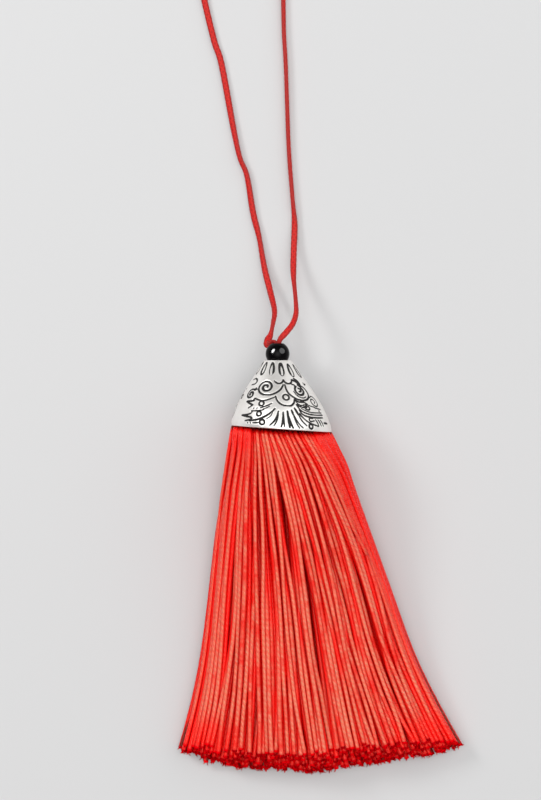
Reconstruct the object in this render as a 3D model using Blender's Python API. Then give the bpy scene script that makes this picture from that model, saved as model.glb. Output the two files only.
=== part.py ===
"""Silk tassel: a fanned skirt of threads, a domed metal cap, a round bead and a cord loop.

It lies on its back. +Y runs from the cut ends of the threads up to the cord, +Z is up.
The origin is on the surface, under the middle of the skirt, the cap and the bead.
"""
import math
from collections import namedtuple

import bmesh
import bpy
from mathutils import Vector

MM = 0.001

# Clearance that each piece keeps to its neighbours.
GAP = 0.3 * MM

# Edges sharper than this stay sharp in the shading.
SMOOTH_ANGLE = math.radians(35)

# Cap: a hollow domed cone whose axis lies level, with its rim on the surface.
RIM_RADIUS = 12.5 * MM
AXIS_HEIGHT = RIM_RADIUS
CAP_TOP = Vector((-10.93 * MM, 49.8 * MM, AXIS_HEIGHT))
CAP_RIM = Vector((-9.93 * MM, 32.7 * MM, AXIS_HEIGHT))
CAP_LENGTH = (CAP_RIM - CAP_TOP).length
RIM_SLANT = math.radians(-3.9)
CAP_WALL = 0.7 * MM
CAP_WALL_ACROSS = 1.15 * CAP_WALL
CAP_HOLE_RADIUS = 2.75 * MM
CAP_LIP = 0.2 * MM
CAP_TOP_THICKNESS = 1.0 * MM
CAP_SEGMENTS = 48

# Outer outline of the cap: millimetres below its top, radius in millimetres.
CapRow = namedtuple("CapRow", "below radius")
CAP_OUTLINE = (
    CapRow(below=0.0, radius=3.5),
    CapRow(below=3.5, radius=5.8),
    CapRow(below=6.1, radius=7.6),
    CapRow(below=8.1, radius=8.9),
    CapRow(below=10.7, radius=10.4),
    CapRow(below=12.8, radius=11.4),
    CapRow(below=15.9, radius=12.45),
    CapRow(below=CAP_LENGTH / MM, radius=12.5),
)
CAP_OUTER_STEPS = 11
CAP_INNER_STEPS = 7

# Bead, with its hole along the tassel.
BEAD_RADIUS = 3.0 * MM
BEAD_BORE_RADIUS = 1.3 * MM
BEAD_ABOVE_CAP = 1.65 * MM
BEAD_CENTRE = CAP_TOP + Vector((0.0, BEAD_ABOVE_CAP, 0.0))
BEAD_SEGMENTS = 32
BEAD_STEPS = 14

# Skirt. Its head is inside the cap, its free length fans out flat on the surface.
HEAD_BELOW_CAP_TOP = 5.0 * MM
HEAD_CLEARANCE = 0.45 * MM
HEAD_STEPS = 4
FAN_STEPS = 20
FAN_STEP_SPREAD = 1.4
END_RINGS = (0.75, 0.5, 0.25)
UPPER_POINTS = 72
LOWER_POINTS = 20
END_HALF_WIDTH = 36.1 * MM
END_SETBACK = 5.6 * MM
END_SETBACK_POWER = 1.2
FLATTENING = 0.6
FLAT_FROM = 0.1

# The line of the cut ends on the surface, from the left corner to the right one, in
# millimetres.
EndPlace = namedtuple("EndPlace", "x y")
END_LINE = (
    EndPlace(x=-36.1, y=-48.9),
    EndPlace(x=-28.0, y=-51.1),
    EndPlace(x=-22.8, y=-52.6),
    EndPlace(x=-12.0, y=-53.5),
    EndPlace(x=-4.0, y=-54.3),
    EndPlace(x=2.0, y=-53.7),
    EndPlace(x=8.0, y=-52.5),
    EndPlace(x=20.0, y=-51.0),
    EndPlace(x=31.0, y=-49.0),
    EndPlace(x=36.1, y=-47.2),
)

# Cross-sections of the free skirt, in millimetres. "along" runs from 0 at the rim to 1 at
# the cut ends; left and right are its edges, top its crown, widest the height of the edges
# and under its lowest face.
FanRow = namedtuple("FanRow", "along left right top widest under")
FAN_SECTIONS = (
    FanRow(along=0.00, left=-21.2, right=1.3, top=23.75, widest=12.5, under=1.25),
    FanRow(along=0.018, left=-22.5, right=2.6, top=23.9, widest=12.2, under=0.8),
    FanRow(along=0.04, left=-23.2, right=4.2, top=23.9, widest=11.8, under=0.4),
    FanRow(along=0.10, left=-24.0, right=6.6, top=23.4, widest=10.2, under=0.0),
    FanRow(along=0.20, left=-25.2, right=9.3, top=22.2, widest=7.8, under=0.0),
    FanRow(along=0.35, left=-26.9, right=13.6, top=19.8, widest=5.6, under=0.0),
    FanRow(along=0.50, left=-28.3, right=17.9, top=17.4, widest=4.3, under=0.0),
    FanRow(along=0.70, left=-30.4, right=23.7, top=14.6, widest=3.2, under=0.0),
    FanRow(along=0.85, left=-32.8, right=29.4, top=12.8, widest=2.6, under=0.0),
    FanRow(along=1.00, left=-36.1, right=36.1, top=11.2, widest=2.2, under=0.0),
)

# Grooves between the clumps of thread: where each runs round the crown, in degrees from
# the right edge, and how deep it is at the cut ends in millimetres.
GrooveRow = namedtuple("GrooveRow", "angle depth")
GROOVES = (
    GrooveRow(angle=0, depth=0.0),
    GrooveRow(angle=10, depth=0.4),
    GrooveRow(angle=23, depth=0.6),
    GrooveRow(angle=38, depth=0.4),
    GrooveRow(angle=49, depth=0.7),
    GrooveRow(angle=62, depth=0.5),
    GrooveRow(angle=71, depth=0.4),
    GrooveRow(angle=83, depth=1.0),
    GrooveRow(angle=97, depth=0.5),
    GrooveRow(angle=106, depth=0.6),
    GrooveRow(angle=116, depth=1.2),
    GrooveRow(angle=129, depth=0.5),
    GrooveRow(angle=140, depth=0.7),
    GrooveRow(angle=154, depth=0.4),
    GrooveRow(angle=167, depth=0.5),
    GrooveRow(angle=180, depth=0.0),
)

# Cord: one length, both ends going down through the bead and the cap.
CORD_RADIUS = 0.75 * MM
CORD_LIE = 0.8 * MM
LAY_SPACING = 3.9 * MM
BEND_SPACING = 1.3 * MM
BEND_LENGTH = 11.0 * MM
SHANK_RADIUS = 0.95 * MM
SHANK_ABOVE_BEAD = 1.4 * MM
SHANK_SEGMENTS = 16

# Round top of the shank: millimetres below its top, share of its radius.
SHANK_TOP = ((0.0, 0.55), (0.15, 0.85), (0.4, 1.0))

# Samples of the smooth curve between two places of the route.
ROUTE_SAMPLES = 24

# The cord's route in millimetres, from the bead up the left leg, round the loop and down
# the right leg to the bead again.
CORD_ROUTE = (
    (-12.6, 55.8, 11.8),
    (-13.2, 54.6, 10.3),
    (-13.8, 54.0, 9.3),
    (-13.6, 55.0, 8.4),
    (-12.8, 56.6, 7.6),
    (-12.0, 59.6, 6.3),
    (-11.7, 62.6, 5.0),
    (-12.8, 67.5, 3.0),
    (-14.3, 73.7, 1.5),
    (-15.6, 81.2, 0.85),
    (-17.1, 87.4, 0.8),
    (-18.7, 96.8, 0.8),
    (-20.5, 101.5, 0.8),
    (-22.1, 108.8, 0.8),
    (-25.1, 125.0, 0.8),
    (-27.0, 131.1, 0.8),
    (-29.5, 141.5, 0.8),
    (-30.1, 146.0, 0.8),
    (-29.1, 151.1, 0.8),
    (-25.0, 154.9, 0.8),
    (-19.4, 156.2, 0.8),
    (-14.1, 154.4, 0.8),
    (-10.6, 150.1, 0.8),
    (-9.6, 145.3, 0.8),
    (-9.3, 133.5, 0.8),
    (-8.8, 124.2, 0.8),
    (-8.1, 104.6, 0.8),
    (-7.2, 92.2, 0.8),
    (-6.6, 84.8, 0.95),
    (-6.8, 77.9, 2.0),
    (-6.9, 71.7, 4.2),
    (-6.4, 65.6, 7.4),
    (-6.3, 61.7, 9.8),
    (-7.2, 58.9, 11.6),
    (-8.7, 57.2, 12.6),
    (-9.5, 56.6, 12.9),
)


def clear_scene():
    """Remove every object that the scene starts with."""
    for existing in list(bpy.data.objects):
        bpy.data.objects.remove(existing, do_unlink=True)


def make_material(name, colour, roughness, metallic):
    """Return a Principled material."""
    material = bpy.data.materials.new(name)
    material.use_nodes = True
    shader = material.node_tree.nodes["Principled BSDF"]
    shader.inputs["Base Color"].default_value = (*colour, 1.0)
    shader.inputs["Roughness"].default_value = roughness
    shader.inputs["Metallic"].default_value = metallic
    material.diffuse_color = (*colour, 1.0)
    return material


def add_object(name, mesh, material):
    """Link a mesh to the scene as one named sub-part."""
    mesh.materials.append(material)
    sub_part = bpy.data.objects.new(name, mesh)
    bpy.context.scene.collection.objects.link(sub_part)
    return sub_part


def smooth_value(keys, values, key):
    """Read a smooth curve through a table, one value for each rising key."""
    last = len(keys) - 1
    key = min(max(key, keys[0]), keys[last])
    row = next(i for i in range(last) if key <= keys[i + 1])
    width = keys[row + 1] - keys[row]
    slopes = []
    for i in (row, row + 1):
        before = max(i - 1, 0)
        after = min(i + 1, last)
        slopes.append((values[after] - values[before]) / (keys[after] - keys[before]))
    w = (key - keys[row]) / width
    start = (1 + 2 * w) * (1 - w) ** 2 * values[row]
    end = w * w * (3 - 2 * w) * values[row + 1]
    bend = w * (1 - w) ** 2 * width * slopes[0] - w * w * (1 - w) * width * slopes[1]
    return start + end + bend


def skin_rings(name, rings, closed_ends):
    """Make a mesh from rings of equal length.

    closed_ends is True for a rod-like body with a face at either end, and False for a
    ring-like body whose last ring joins the first one again.
    """
    shape = bmesh.new()
    rows = [[shape.verts.new(point) for point in ring] for ring in rings]
    count = len(rows[0])
    pairs = list(zip(rows, rows[1:]))
    if not closed_ends:
        pairs.append((rows[-1], rows[0]))
    for lower, upper in pairs:
        for k in range(count):
            after = (k + 1) % count
            shape.faces.new((lower[k], lower[after], upper[after], upper[k]))
    if closed_ends:
        shape.faces.new(reversed(rows[0]))
        shape.faces.new(rows[-1])
    bmesh.ops.recalc_face_normals(shape, faces=shape.faces)
    mesh = bpy.data.meshes.new(name)
    shape.to_mesh(mesh)
    shape.free()
    mesh.shade_smooth()
    mesh.set_sharp_from_angle(angle=SMOOTH_ANGLE)
    return mesh


# ---------------------------------------------------------------- cap

def cap_radius(below):
    """Outer radius of the cap at a distance below its top."""
    keys = [row.below for row in CAP_OUTLINE]
    values = [row.radius for row in CAP_OUTLINE]
    return smooth_value(keys, values, below / MM) * MM


def cap_inner_radius(below):
    """Inner radius of the cap at a distance below its top, its leaning wall measured across."""
    return cap_radius(below) - CAP_WALL_ACROSS


def cap_ring(below, radius, segments):
    """Circle round the cap's axis, with a flat at its lowest side.

    The circles turn little by little from square at the top to the slant of the rim.
    """
    along = below / CAP_LENGTH
    centre = CAP_TOP.lerp(CAP_RIM, along)
    slant = RIM_SLANT * along
    across = Vector((math.cos(slant), math.sin(slant), 0.0))
    corner = radius / math.cos(math.pi / segments)
    ring = []
    for k in range(segments):
        angle = math.tau * (k + 0.5) / segments - math.pi / 2
        ring.append(centre + across * corner * math.cos(angle) + Vector((0, 0, corner * math.sin(angle))))
    return ring


def build_cap(material):
    """Thin domed cone, open at the rim, with the hole for the cord at its top."""
    outline = [(CAP_LIP, CAP_HOLE_RADIUS), (0.0, CAP_HOLE_RADIUS + CAP_LIP)]
    outline.append((0.0, cap_radius(0.0) - CAP_LIP))
    for k in range(CAP_OUTER_STEPS + 1):
        below = CAP_LIP + (CAP_LENGTH - CAP_LIP) * k / CAP_OUTER_STEPS
        outline.append((below, cap_radius(below)))
    for k in range(CAP_INNER_STEPS + 1):
        below = CAP_LENGTH + (CAP_TOP_THICKNESS - CAP_LENGTH) * k / CAP_INNER_STEPS
        outline.append((below, cap_inner_radius(below)))
    outline.append((CAP_TOP_THICKNESS, CAP_HOLE_RADIUS))
    rings = [cap_ring(below, radius, CAP_SEGMENTS) for below, radius in outline]
    return add_object("cap", skin_rings("cap", rings, closed_ends=False), material)


# ---------------------------------------------------------------- bead

def build_bead(material):
    """Round bead turned about its hole."""
    mouth = math.asin(BEAD_BORE_RADIUS / BEAD_RADIUS)
    rings = []
    for k in range(BEAD_STEPS + 1):
        turn = mouth + (math.pi - 2 * mouth) * k / BEAD_STEPS
        radius = BEAD_RADIUS * math.sin(turn)
        height = BEAD_RADIUS * math.cos(turn)
        ring = []
        for i in range(BEAD_SEGMENTS):
            angle = math.tau * i / BEAD_SEGMENTS
            side = Vector((radius * math.cos(angle), height, radius * math.sin(angle)))
            ring.append(BEAD_CENTRE + side)
        rings.append(ring)
    return add_object("bead", skin_rings("bead", rings, closed_ends=False), material)


# ---------------------------------------------------------------- skirt

def fan_value(column, along):
    """One dimension of the free skirt's cross-section, at a share of its length."""
    keys = [row.along for row in FAN_SECTIONS]
    values = [getattr(row, column) for row in FAN_SECTIONS]
    return smooth_value(keys, values, along) * MM


def groove_depth(angle):
    """Depth of the grooves at an angle round the crown, in degrees."""
    for first, second in zip(GROOVES, GROOVES[1:]):
        if first.angle <= angle <= second.angle:
            w = (angle - first.angle) / (second.angle - first.angle)
            clump = math.sqrt(max(0.0, 1.0 - (2.0 * w - 1.0) ** 2))
            depth = first.depth + (second.depth - first.depth) * w
            return depth * (1.0 - clump) * MM
    return 0.0


def end_line(x, height_share):
    """Y of the cut ends: a shallow curve, with the upper threads ending further back."""
    across = x / MM
    for first, second in zip(END_LINE, END_LINE[1:]):
        if across <= second.x:
            break
    share = (across - first.x) / (second.x - first.x)
    line = (first.y + (second.y - first.y) * share) * MM
    return line + END_SETBACK * max(0.0, height_share) ** END_SETBACK_POWER


def fan_ring(along):
    """Cross-section of the free skirt, from the right edge over the crown and back below."""
    left = fan_value("left", along)
    right = fan_value("right", along)
    top = fan_value("top", along)
    widest = fan_value("widest", along)
    under = max(0.0, fan_value("under", along))
    if along >= FLAT_FROM:
        under = 0.0
    middle = (left + right) / 2
    half = (right - left) / 2
    flattening = 1.0 + FLATTENING * min(1.0, along / FLAT_FROM)
    ring = []
    for k in range(UPPER_POINTS + LOWER_POINTS):
        if k < UPPER_POINTS:
            angle = math.pi * k / UPPER_POINTS
            depth = groove_depth(math.degrees(angle)) * along
            across = (half - depth) * math.cos(angle)
            z = widest + (top - widest - depth) * math.sin(angle)
        else:
            angle = math.pi * (1 + (k - UPPER_POINTS) / LOWER_POINTS)
            across = half * math.cos(angle)
            z = widest - (widest - under) * min(1.0, -flattening * math.sin(angle))
        rim_y = CAP_RIM.y + across * math.sin(RIM_SLANT)
        end_x = END_HALF_WIDTH * across / half
        end_y = end_line(end_x, max(0.0, z - widest) / (top - widest))
        ring.append(Vector((middle + across, rim_y + (end_y - rim_y) * along, z)))
    return ring


def head_ring(below):
    """Round cross-section of the skirt inside the cap, point for point like a fan ring."""
    radius = cap_inner_radius(below) - HEAD_CLEARANCE
    share = below / CAP_LENGTH
    centre = CAP_TOP.lerp(CAP_RIM, share)
    slant = RIM_SLANT * share
    ring = []
    for k in range(UPPER_POINTS + LOWER_POINTS):
        if k < UPPER_POINTS:
            angle = math.pi * k / UPPER_POINTS
        else:
            angle = math.pi * (1 + (k - UPPER_POINTS) / LOWER_POINTS)
        across = radius * math.cos(angle)
        rise = radius * math.sin(angle)
        ring.append(centre + Vector((across * math.cos(slant), across * math.sin(slant), rise)))
    return ring


def end_ring(share):
    """The outline of the cut ends, shrunk towards its middle, for the sloping end face."""
    top = fan_value("top", 1.0)
    widest = fan_value("widest", 1.0)
    ring = []
    for point in fan_ring(1.0):
        x = point.x * share
        z = widest + (point.z - widest) * share
        ring.append(Vector((x, end_line(x, (z - widest) / (top - widest)), z)))
    return ring


def build_skirt(material):
    """The hank of threads as one solid, from its bound head to its cut ends."""
    rings = []
    for k in range(HEAD_STEPS):
        below = HEAD_BELOW_CAP_TOP + (CAP_LENGTH - HEAD_BELOW_CAP_TOP) * k / HEAD_STEPS
        rings.append(head_ring(below))
    for k in range(FAN_STEPS + 1):
        rings.append(fan_ring((k / FAN_STEPS) ** FAN_STEP_SPREAD))
    for share in END_RINGS:
        rings.append(end_ring(share))
    return add_object("skirt", skin_rings("skirt", rings, closed_ends=True), material)


# ---------------------------------------------------------------- cord

def route_point(places, position):
    """Point on a smooth curve through the route, at a position counted in its places."""
    first = min(int(position), len(places) - 2)
    w = position - first
    before = places[max(first - 1, 0)]
    start = places[first]
    end = places[first + 1]
    after = places[min(first + 2, len(places) - 1)]
    slope_start = (end - before) / 2
    slope_end = (after - start) / 2
    point = start * ((1 + 2 * w) * (1 - w) ** 2) + end * (w * w * (3 - 2 * w))
    point += slope_start * (w * (1 - w) ** 2) - slope_end * (w * w * (1 - w))
    point.z = max(point.z, CORD_LIE)
    return point


def cord_points():
    """Points of the cord, close together in the bends at the bead and wider on the lay."""
    places = [Vector(place) * MM for place in CORD_ROUTE]
    steps = (len(places) - 1) * ROUTE_SAMPLES
    fine = [route_point(places, i / ROUTE_SAMPLES) for i in range(steps + 1)]
    run = [0.0]
    for previous, point in zip(fine, fine[1:]):
        run.append(run[-1] + (point - previous).length)
    points = [fine[0]]
    last_run = 0.0
    for point, distance in zip(fine, run):
        near_end = min(last_run, run[-1] - distance) < BEND_LENGTH
        spacing = BEND_SPACING if near_end else LAY_SPACING
        if distance - last_run >= spacing and run[-1] - distance > spacing / 2:
            points.append(point)
            last_run = distance
    points.append(fine[-1])
    return points


def build_cord_loop(material):
    """The free loop: a round tube along the cord's route."""
    curve = bpy.data.curves.new("cord_loop", "CURVE")
    curve.dimensions = "3D"
    curve.bevel_depth = CORD_RADIUS
    curve.bevel_resolution = 2
    curve.use_fill_caps = True
    points = cord_points()
    spline = curve.splines.new("POLY")
    spline.points.add(len(points) - 1)
    for control, point in zip(spline.points, points):
        control.co = (*point, 1.0)
    curve.materials.append(material)
    loop = bpy.data.objects.new("cord_loop", curve)
    bpy.context.scene.collection.objects.link(loop)
    return loop


def build_cord_shank(material):
    """The two legs squeezed together, from above the bead down to the skirt's head."""
    bead_top = BEAD_CENTRE.y + math.sqrt(BEAD_RADIUS ** 2 - BEAD_BORE_RADIUS ** 2)
    top = bead_top + SHANK_ABOVE_BEAD
    bottom = CAP_TOP.y - HEAD_BELOW_CAP_TOP + GAP
    outline = [(top - below * MM, share) for below, share in SHANK_TOP]
    outline.append((bottom, 1.0))
    rings = []
    for y, share in outline:
        ring = []
        for k in range(SHANK_SEGMENTS):
            angle = math.tau * k / SHANK_SEGMENTS
            across = SHANK_RADIUS * share * math.cos(angle)
            rise = SHANK_RADIUS * share * math.sin(angle)
            ring.append(Vector((CAP_TOP.x + across, y, AXIS_HEIGHT + rise)))
        rings.append(ring)
    return add_object("cord_shank", skin_rings("cord_shank", rings, closed_ends=True), material)


def main():
    """Build the tassel."""
    clear_scene()
    silk = make_material("red_silk", (0.70, 0.015, 0.012), 0.45, 0.0)
    silver = make_material("blackened_silver", (0.78, 0.77, 0.74), 0.30, 1.0)
    onyx = make_material("black_bead", (0.008, 0.008, 0.009), 0.08, 0.0)
    braid = make_material("red_cord", (0.55, 0.020, 0.020), 0.60, 0.0)
    build_skirt(silk)
    build_cap(silver)
    build_bead(onyx)
    build_cord_loop(braid)
    build_cord_shank(braid)


main()
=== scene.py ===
"""The looks of a silk tassel that lies on its back on a pale floor.

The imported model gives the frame: +Y runs from the cut ends of the threads to the cord, +Z is up.
Threads, cord, bead and the engraved cap are modelled here at their real size. Their lengths are
written in millimetres, and made metres where a mesh is made. Lights are placed in metres.
"""

import math
from collections import namedtuple

import bpy
import numpy as np
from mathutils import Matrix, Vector
from mathutils.kdtree import KDTree


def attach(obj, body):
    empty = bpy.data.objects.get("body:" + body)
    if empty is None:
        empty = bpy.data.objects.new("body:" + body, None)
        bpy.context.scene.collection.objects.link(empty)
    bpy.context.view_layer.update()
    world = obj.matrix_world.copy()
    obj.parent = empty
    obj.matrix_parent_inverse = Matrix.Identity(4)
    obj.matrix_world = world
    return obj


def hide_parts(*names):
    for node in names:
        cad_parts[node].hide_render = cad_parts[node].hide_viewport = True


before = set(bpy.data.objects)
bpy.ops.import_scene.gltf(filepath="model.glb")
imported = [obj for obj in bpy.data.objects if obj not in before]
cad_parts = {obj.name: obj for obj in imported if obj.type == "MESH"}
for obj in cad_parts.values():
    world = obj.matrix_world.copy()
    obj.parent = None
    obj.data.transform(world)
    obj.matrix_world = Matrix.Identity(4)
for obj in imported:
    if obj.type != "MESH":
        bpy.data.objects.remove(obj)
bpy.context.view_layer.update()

MM = 0.001
SEED = 7


# ---------------------------------------------------------------- shared helpers

def smooth_table(keys, values, wanted):
    """Read a smooth curve through a table of rising keys, for many wanted keys at once."""
    keys = np.asarray(keys, dtype=float)
    values = np.asarray(values, dtype=float)
    last = len(keys) - 1
    before = np.maximum(np.arange(last + 1) - 1, 0)
    after = np.minimum(np.arange(last + 1) + 1, last)
    slopes = (values[after] - values[before]) / (keys[after] - keys[before])
    wanted = np.clip(np.asarray(wanted, dtype=float), keys[0], keys[last])
    row = np.clip(np.searchsorted(keys, wanted, side="right") - 1, 0, last - 1)
    width = keys[row + 1] - keys[row]
    w = (wanted - keys[row]) / width
    start = (1 + 2 * w) * (1 - w) ** 2 * values[row]
    end = w * w * (3 - 2 * w) * values[row + 1]
    bend = w * (1 - w) ** 2 * width * slopes[row] - w * w * (1 - w) * width * slopes[row + 1]
    return start + end + bend


def smooth_step(low, high, value):
    """0 below low, 1 above high, and a smooth rise between them."""
    w = np.clip((value - low) / (high - low), 0.0, 1.0)
    return w * w * (3 - 2 * w)


def smooth_fall(low, high, value):
    """1 below low, 0 above high, and a smooth fall between them."""
    return 1.0 - smooth_step(low, high, value)


def smooth_route(places, samples):
    """Points of a smooth curve through an open list of places."""
    places = np.asarray(places, dtype=float)
    position = np.linspace(0, len(places) - 1, (len(places) - 1) * samples + 1)
    keys = np.arange(len(places))
    return np.stack([smooth_table(keys, places[:, axis], position) for axis in range(3)], axis=1)


def even_points(points, spacing):
    """The same line with its points an even distance apart."""
    run = np.concatenate([[0.0], np.cumsum(np.linalg.norm(np.diff(points, axis=0), axis=1))])
    count = max(2, int(round(run[-1] / spacing)) + 1)
    wanted = np.linspace(0.0, run[-1], count)
    even = np.stack([np.interp(wanted, run, points[:, axis]) for axis in range(3)], axis=1)
    return even, wanted


def unit(vectors):
    """Vectors scaled to length one."""
    return vectors / np.maximum(np.linalg.norm(vectors, axis=-1, keepdims=True), 1e-12)


def turned(count):
    """Angles of so many even places round a circle."""
    return math.tau * np.arange(count) / count


def grid_mesh(name, rows, close_rows=False, cap_ends=False):
    """Mesh skinned over rows of points, an array of (rows, points round, 3)."""
    count, around = rows.shape[:2]
    row = np.arange(count if close_rows else count - 1)[:, None] * around
    next_row = (row + around) % (count * around)
    col = np.arange(around)[None, :]
    next_col = (col + 1) % around
    quads = np.stack([row + col, row + next_col, next_row + next_col, next_row + col], axis=-1)
    faces = quads.reshape(-1, 4).tolist()
    if cap_ends:
        faces.append(list(range(around))[::-1])
        faces.append(list(range((count - 1) * around, count * around)))
    mesh = bpy.data.meshes.new(name)
    mesh.from_pydata(rows.reshape(-1, 3).tolist(), [], faces)
    mesh.validate()
    return mesh


def point_outwards(mesh):
    """Turn a mesh's faces so that they point outwards."""
    mesh.calc_loop_triangles()
    places = np.empty(len(mesh.vertices) * 3)
    mesh.vertices.foreach_get("co", places)
    corners = np.empty(len(mesh.loop_triangles) * 3, dtype=np.int32)
    mesh.loop_triangles.foreach_get("vertices", corners)
    a, b, c = (places.reshape(-1, 3)[corners.reshape(-1, 3)[:, k]] for k in range(3))
    volume = np.einsum("ij,ij->i", a, np.cross(b, c)).sum()
    if volume < 0:
        mesh.flip_normals()


def place_object(name, data):
    """Put an object into the scene."""
    thing = bpy.data.objects.new(name, data)
    bpy.context.scene.collection.objects.link(thing)
    return thing


def add_piece(name, mesh, material=None):
    """Place a finished mesh as a piece of the tassel."""
    mesh.shade_smooth()
    if material is not None:
        mesh.materials.clear()
        mesh.materials.append(material)
    return place_object(name, mesh)


def point_attribute(mesh, name, values):
    """Store one number for each point of a mesh."""
    attribute = mesh.attributes.new(name, "FLOAT", "POINT")
    attribute.data.foreach_set("value", np.asarray(values, dtype=np.float32).ravel())


# ---------------------------------------------------------------- node helpers

class NodeSheet:
    """Adds nodes to a node tree and links them."""

    def __init__(self, tree):
        self.tree = tree

    def feed(self, target, value):
        """Link a socket, or set a constant."""
        if isinstance(value, bpy.types.NodeSocket):
            self.tree.links.new(value, target)
        else:
            target.default_value = (*value, 1.0) if target.type == "RGBA" else value

    def fill(self, node, inputs):
        """Feed a node's inputs, by name or by number."""
        for name, value in inputs.items():
            self.feed(node.inputs[name], value)

    def add(self, kind, inputs=None, **settings):
        """Add a node, set its plain properties and fill its inputs."""
        node = self.tree.nodes.new(kind)
        for name, value in settings.items():
            setattr(node, name, value)
        self.fill(node, inputs or {})
        return node

    def maths(self, operation, first, second=None, third=None, clamp=False):
        """A Math node."""
        inputs = {n: value for n, value in enumerate((first, second, third)) if value is not None}
        return self.add("ShaderNodeMath", inputs, operation=operation, use_clamp=clamp).outputs[0]

    def blend(self, factor, first, second):
        """A Mix node for colours."""
        inputs = {"Factor": factor, 6: first, 7: second}
        return self.add("ShaderNodeMix", inputs, data_type="RGBA").outputs[2]

    def remap(self, value, low, high, to_low=0.0, to_high=1.0):
        """A smooth Map Range node."""
        inputs = {"Value": value, "From Min": low, "From Max": high, "To Min": to_low, "To Max": to_high}
        return self.add("ShaderNodeMapRange", inputs, interpolation_type="SMOOTHSTEP").outputs["Result"]

    def place(self, x, y, z=0.0):
        """A place from three numbers."""
        return self.add("ShaderNodeCombineXYZ", {"X": x, "Y": y, "Z": z}).outputs[0]

    def attribute(self, name):
        """A number stored on the mesh."""
        return self.add("ShaderNodeAttribute", attribute_name=name).outputs["Fac"]

    def strand_place(self):
        """Share of the way round a strand, and millimetres along it, from its UV map."""
        uv = self.add("ShaderNodeUVMap", uv_map="UVMap").outputs["UV"]
        split = self.add("ShaderNodeSeparateXYZ", {0: uv})
        return split.outputs["X"], split.outputs["Y"]

    def noise(self, vector, scale, detail=3.0, roughness=0.5):
        """A Noise Texture."""
        inputs = {"Vector": vector, "Scale": scale, "Detail": detail, "Roughness": roughness}
        return self.add("ShaderNodeTexNoise", inputs).outputs["Fac"]

    def bump(self, height, strength, distance):
        """Fine relief of a surface, as its normal. The distance is in millimetres."""
        inputs = {"Strength": strength, "Distance": distance * MM, "Height": height}
        return self.add("ShaderNodeBump", inputs).outputs["Normal"]


def new_material(name, preview):
    """A material with a Principled shader. Returns the material, its sheet and the shader."""
    material = bpy.data.materials.new(name)
    material.use_nodes = True
    material.diffuse_color = (*preview, 1.0)
    return material, NodeSheet(material.node_tree), material.node_tree.nodes["Principled BSDF"]


def new_group(name, kind, inputs, outputs):
    """A node group with named sockets. Returns the group, its sheet, its inputs and its exit."""
    group = bpy.data.node_groups.new(name, kind)
    for in_out, sockets in (("INPUT", inputs), ("OUTPUT", outputs)):
        for socket, socket_kind in sockets.items():
            group.interface.new_socket(name=socket, in_out=in_out, socket_type="NodeSocket" + socket_kind)
    sheet = NodeSheet(group)
    return group, sheet, sheet.add("NodeGroupInput").outputs, sheet.add("NodeGroupOutput")


# ---------------------------------------------------------------- materials

# Where the top of a lying thread is in its UV map.
TOP_OF_THREAD = 0.75
# Below 1, the ridges of the plies are broad and the grooves between them narrow.
RIDGE_SHAPE = 0.6
# How fine the loose fibres are, across the winding and along it.
FIBRE_GRAIN = (7.0, 0.6)


def make_twist_group():
    """Plied yarn: ridges that wind round a strand, and the loose fibres along it."""
    inputs = dict.fromkeys(("Plies", "Pitch", "Fibre", "Shift", "Facing"), "Float")
    outputs = dict.fromkeys(("Height", "Groove", "Along", "Crest"), "Float")
    group, sheet, given, result = new_group("plied_yarn", "ShaderNodeTree", inputs, outputs)
    around, along = sheet.strand_place()
    turns = sheet.maths("DIVIDE", along, given["Pitch"])
    winding = sheet.maths("ADD", sheet.maths("MULTIPLY", around, given["Plies"]), turns)
    winding = sheet.maths("ADD", winding, given["Shift"])
    wave = sheet.maths("SINE", sheet.maths("MULTIPLY", winding, math.tau))
    ridge = sheet.maths("POWER", sheet.maths("MULTIPLY_ADD", wave, 0.5, 0.5), RIDGE_SHAPE)
    fibre_place = sheet.place(sheet.maths("MULTIPLY", winding, FIBRE_GRAIN[0]),
                              sheet.maths("MULTIPLY", along, FIBRE_GRAIN[1]), given["Shift"])
    fibre = sheet.noise(fibre_place, 1.0, 2.0)
    # Crest: how far a point faces out of the skirt; the silk's painted highlight is laid there.
    angle = sheet.maths("MULTIPLY", sheet.maths("SUBTRACT", TOP_OF_THREAD, around), math.tau)
    sheet.fill(result, {
        "Height": sheet.maths("MULTIPLY_ADD", fibre, given["Fibre"], ridge),
        "Groove": sheet.maths("SUBTRACT", 1.0, ridge, clamp=True),
        "Along": along,
        "Crest": sheet.maths("COSINE", sheet.maths("SUBTRACT", angle, given["Facing"])),
    })
    return group


# Painted highlight: a salmon colour laid along the crests of open threads, in place of the lights' gloss.
SILK_PAINTED_HIGHLIGHT = (0.77, 0.220, 0.135)
# Painted light: threads buried under others get a brighter red than open ones, to lift the shade between
# them.
SILK_BURIED_PAINTED_LIGHT = (0.96, 0.005, 0.004)
SILK_OPEN = (0.80, 0.008, 0.005)
# Painted shade: a deeper red in the grooves between the plies, with none of the painted highlight.
SILK_GROOVE_SHADE = (0.78, 0.001, 0.001)
# Cut ends: a deeper red, partly their own colour and partly painted shade from the layers above.
SILK_CUT_END_AND_SHADE = (0.66, 0.0, 0.004)
# Painted shade under the rim: a near black red on the threads just below it.
SILK_RIM_PAINTED_SHADE = (0.15, 0.0, 0.0)
# How far apart the threads' shades lie in the winding and in the streaks.
SHADE_TWIST = 17.0
SHADE_STREAK = 91.0
STREAKS_PER_MM = 0.16
# Strength of a thread's painted highlight: its streaks, its own shade, and the least of it.
STREAK_HIGHLIGHT = 3.0
TONE_HIGHLIGHT = 0.75
LEAST_HIGHLIGHT = 0.22


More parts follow.
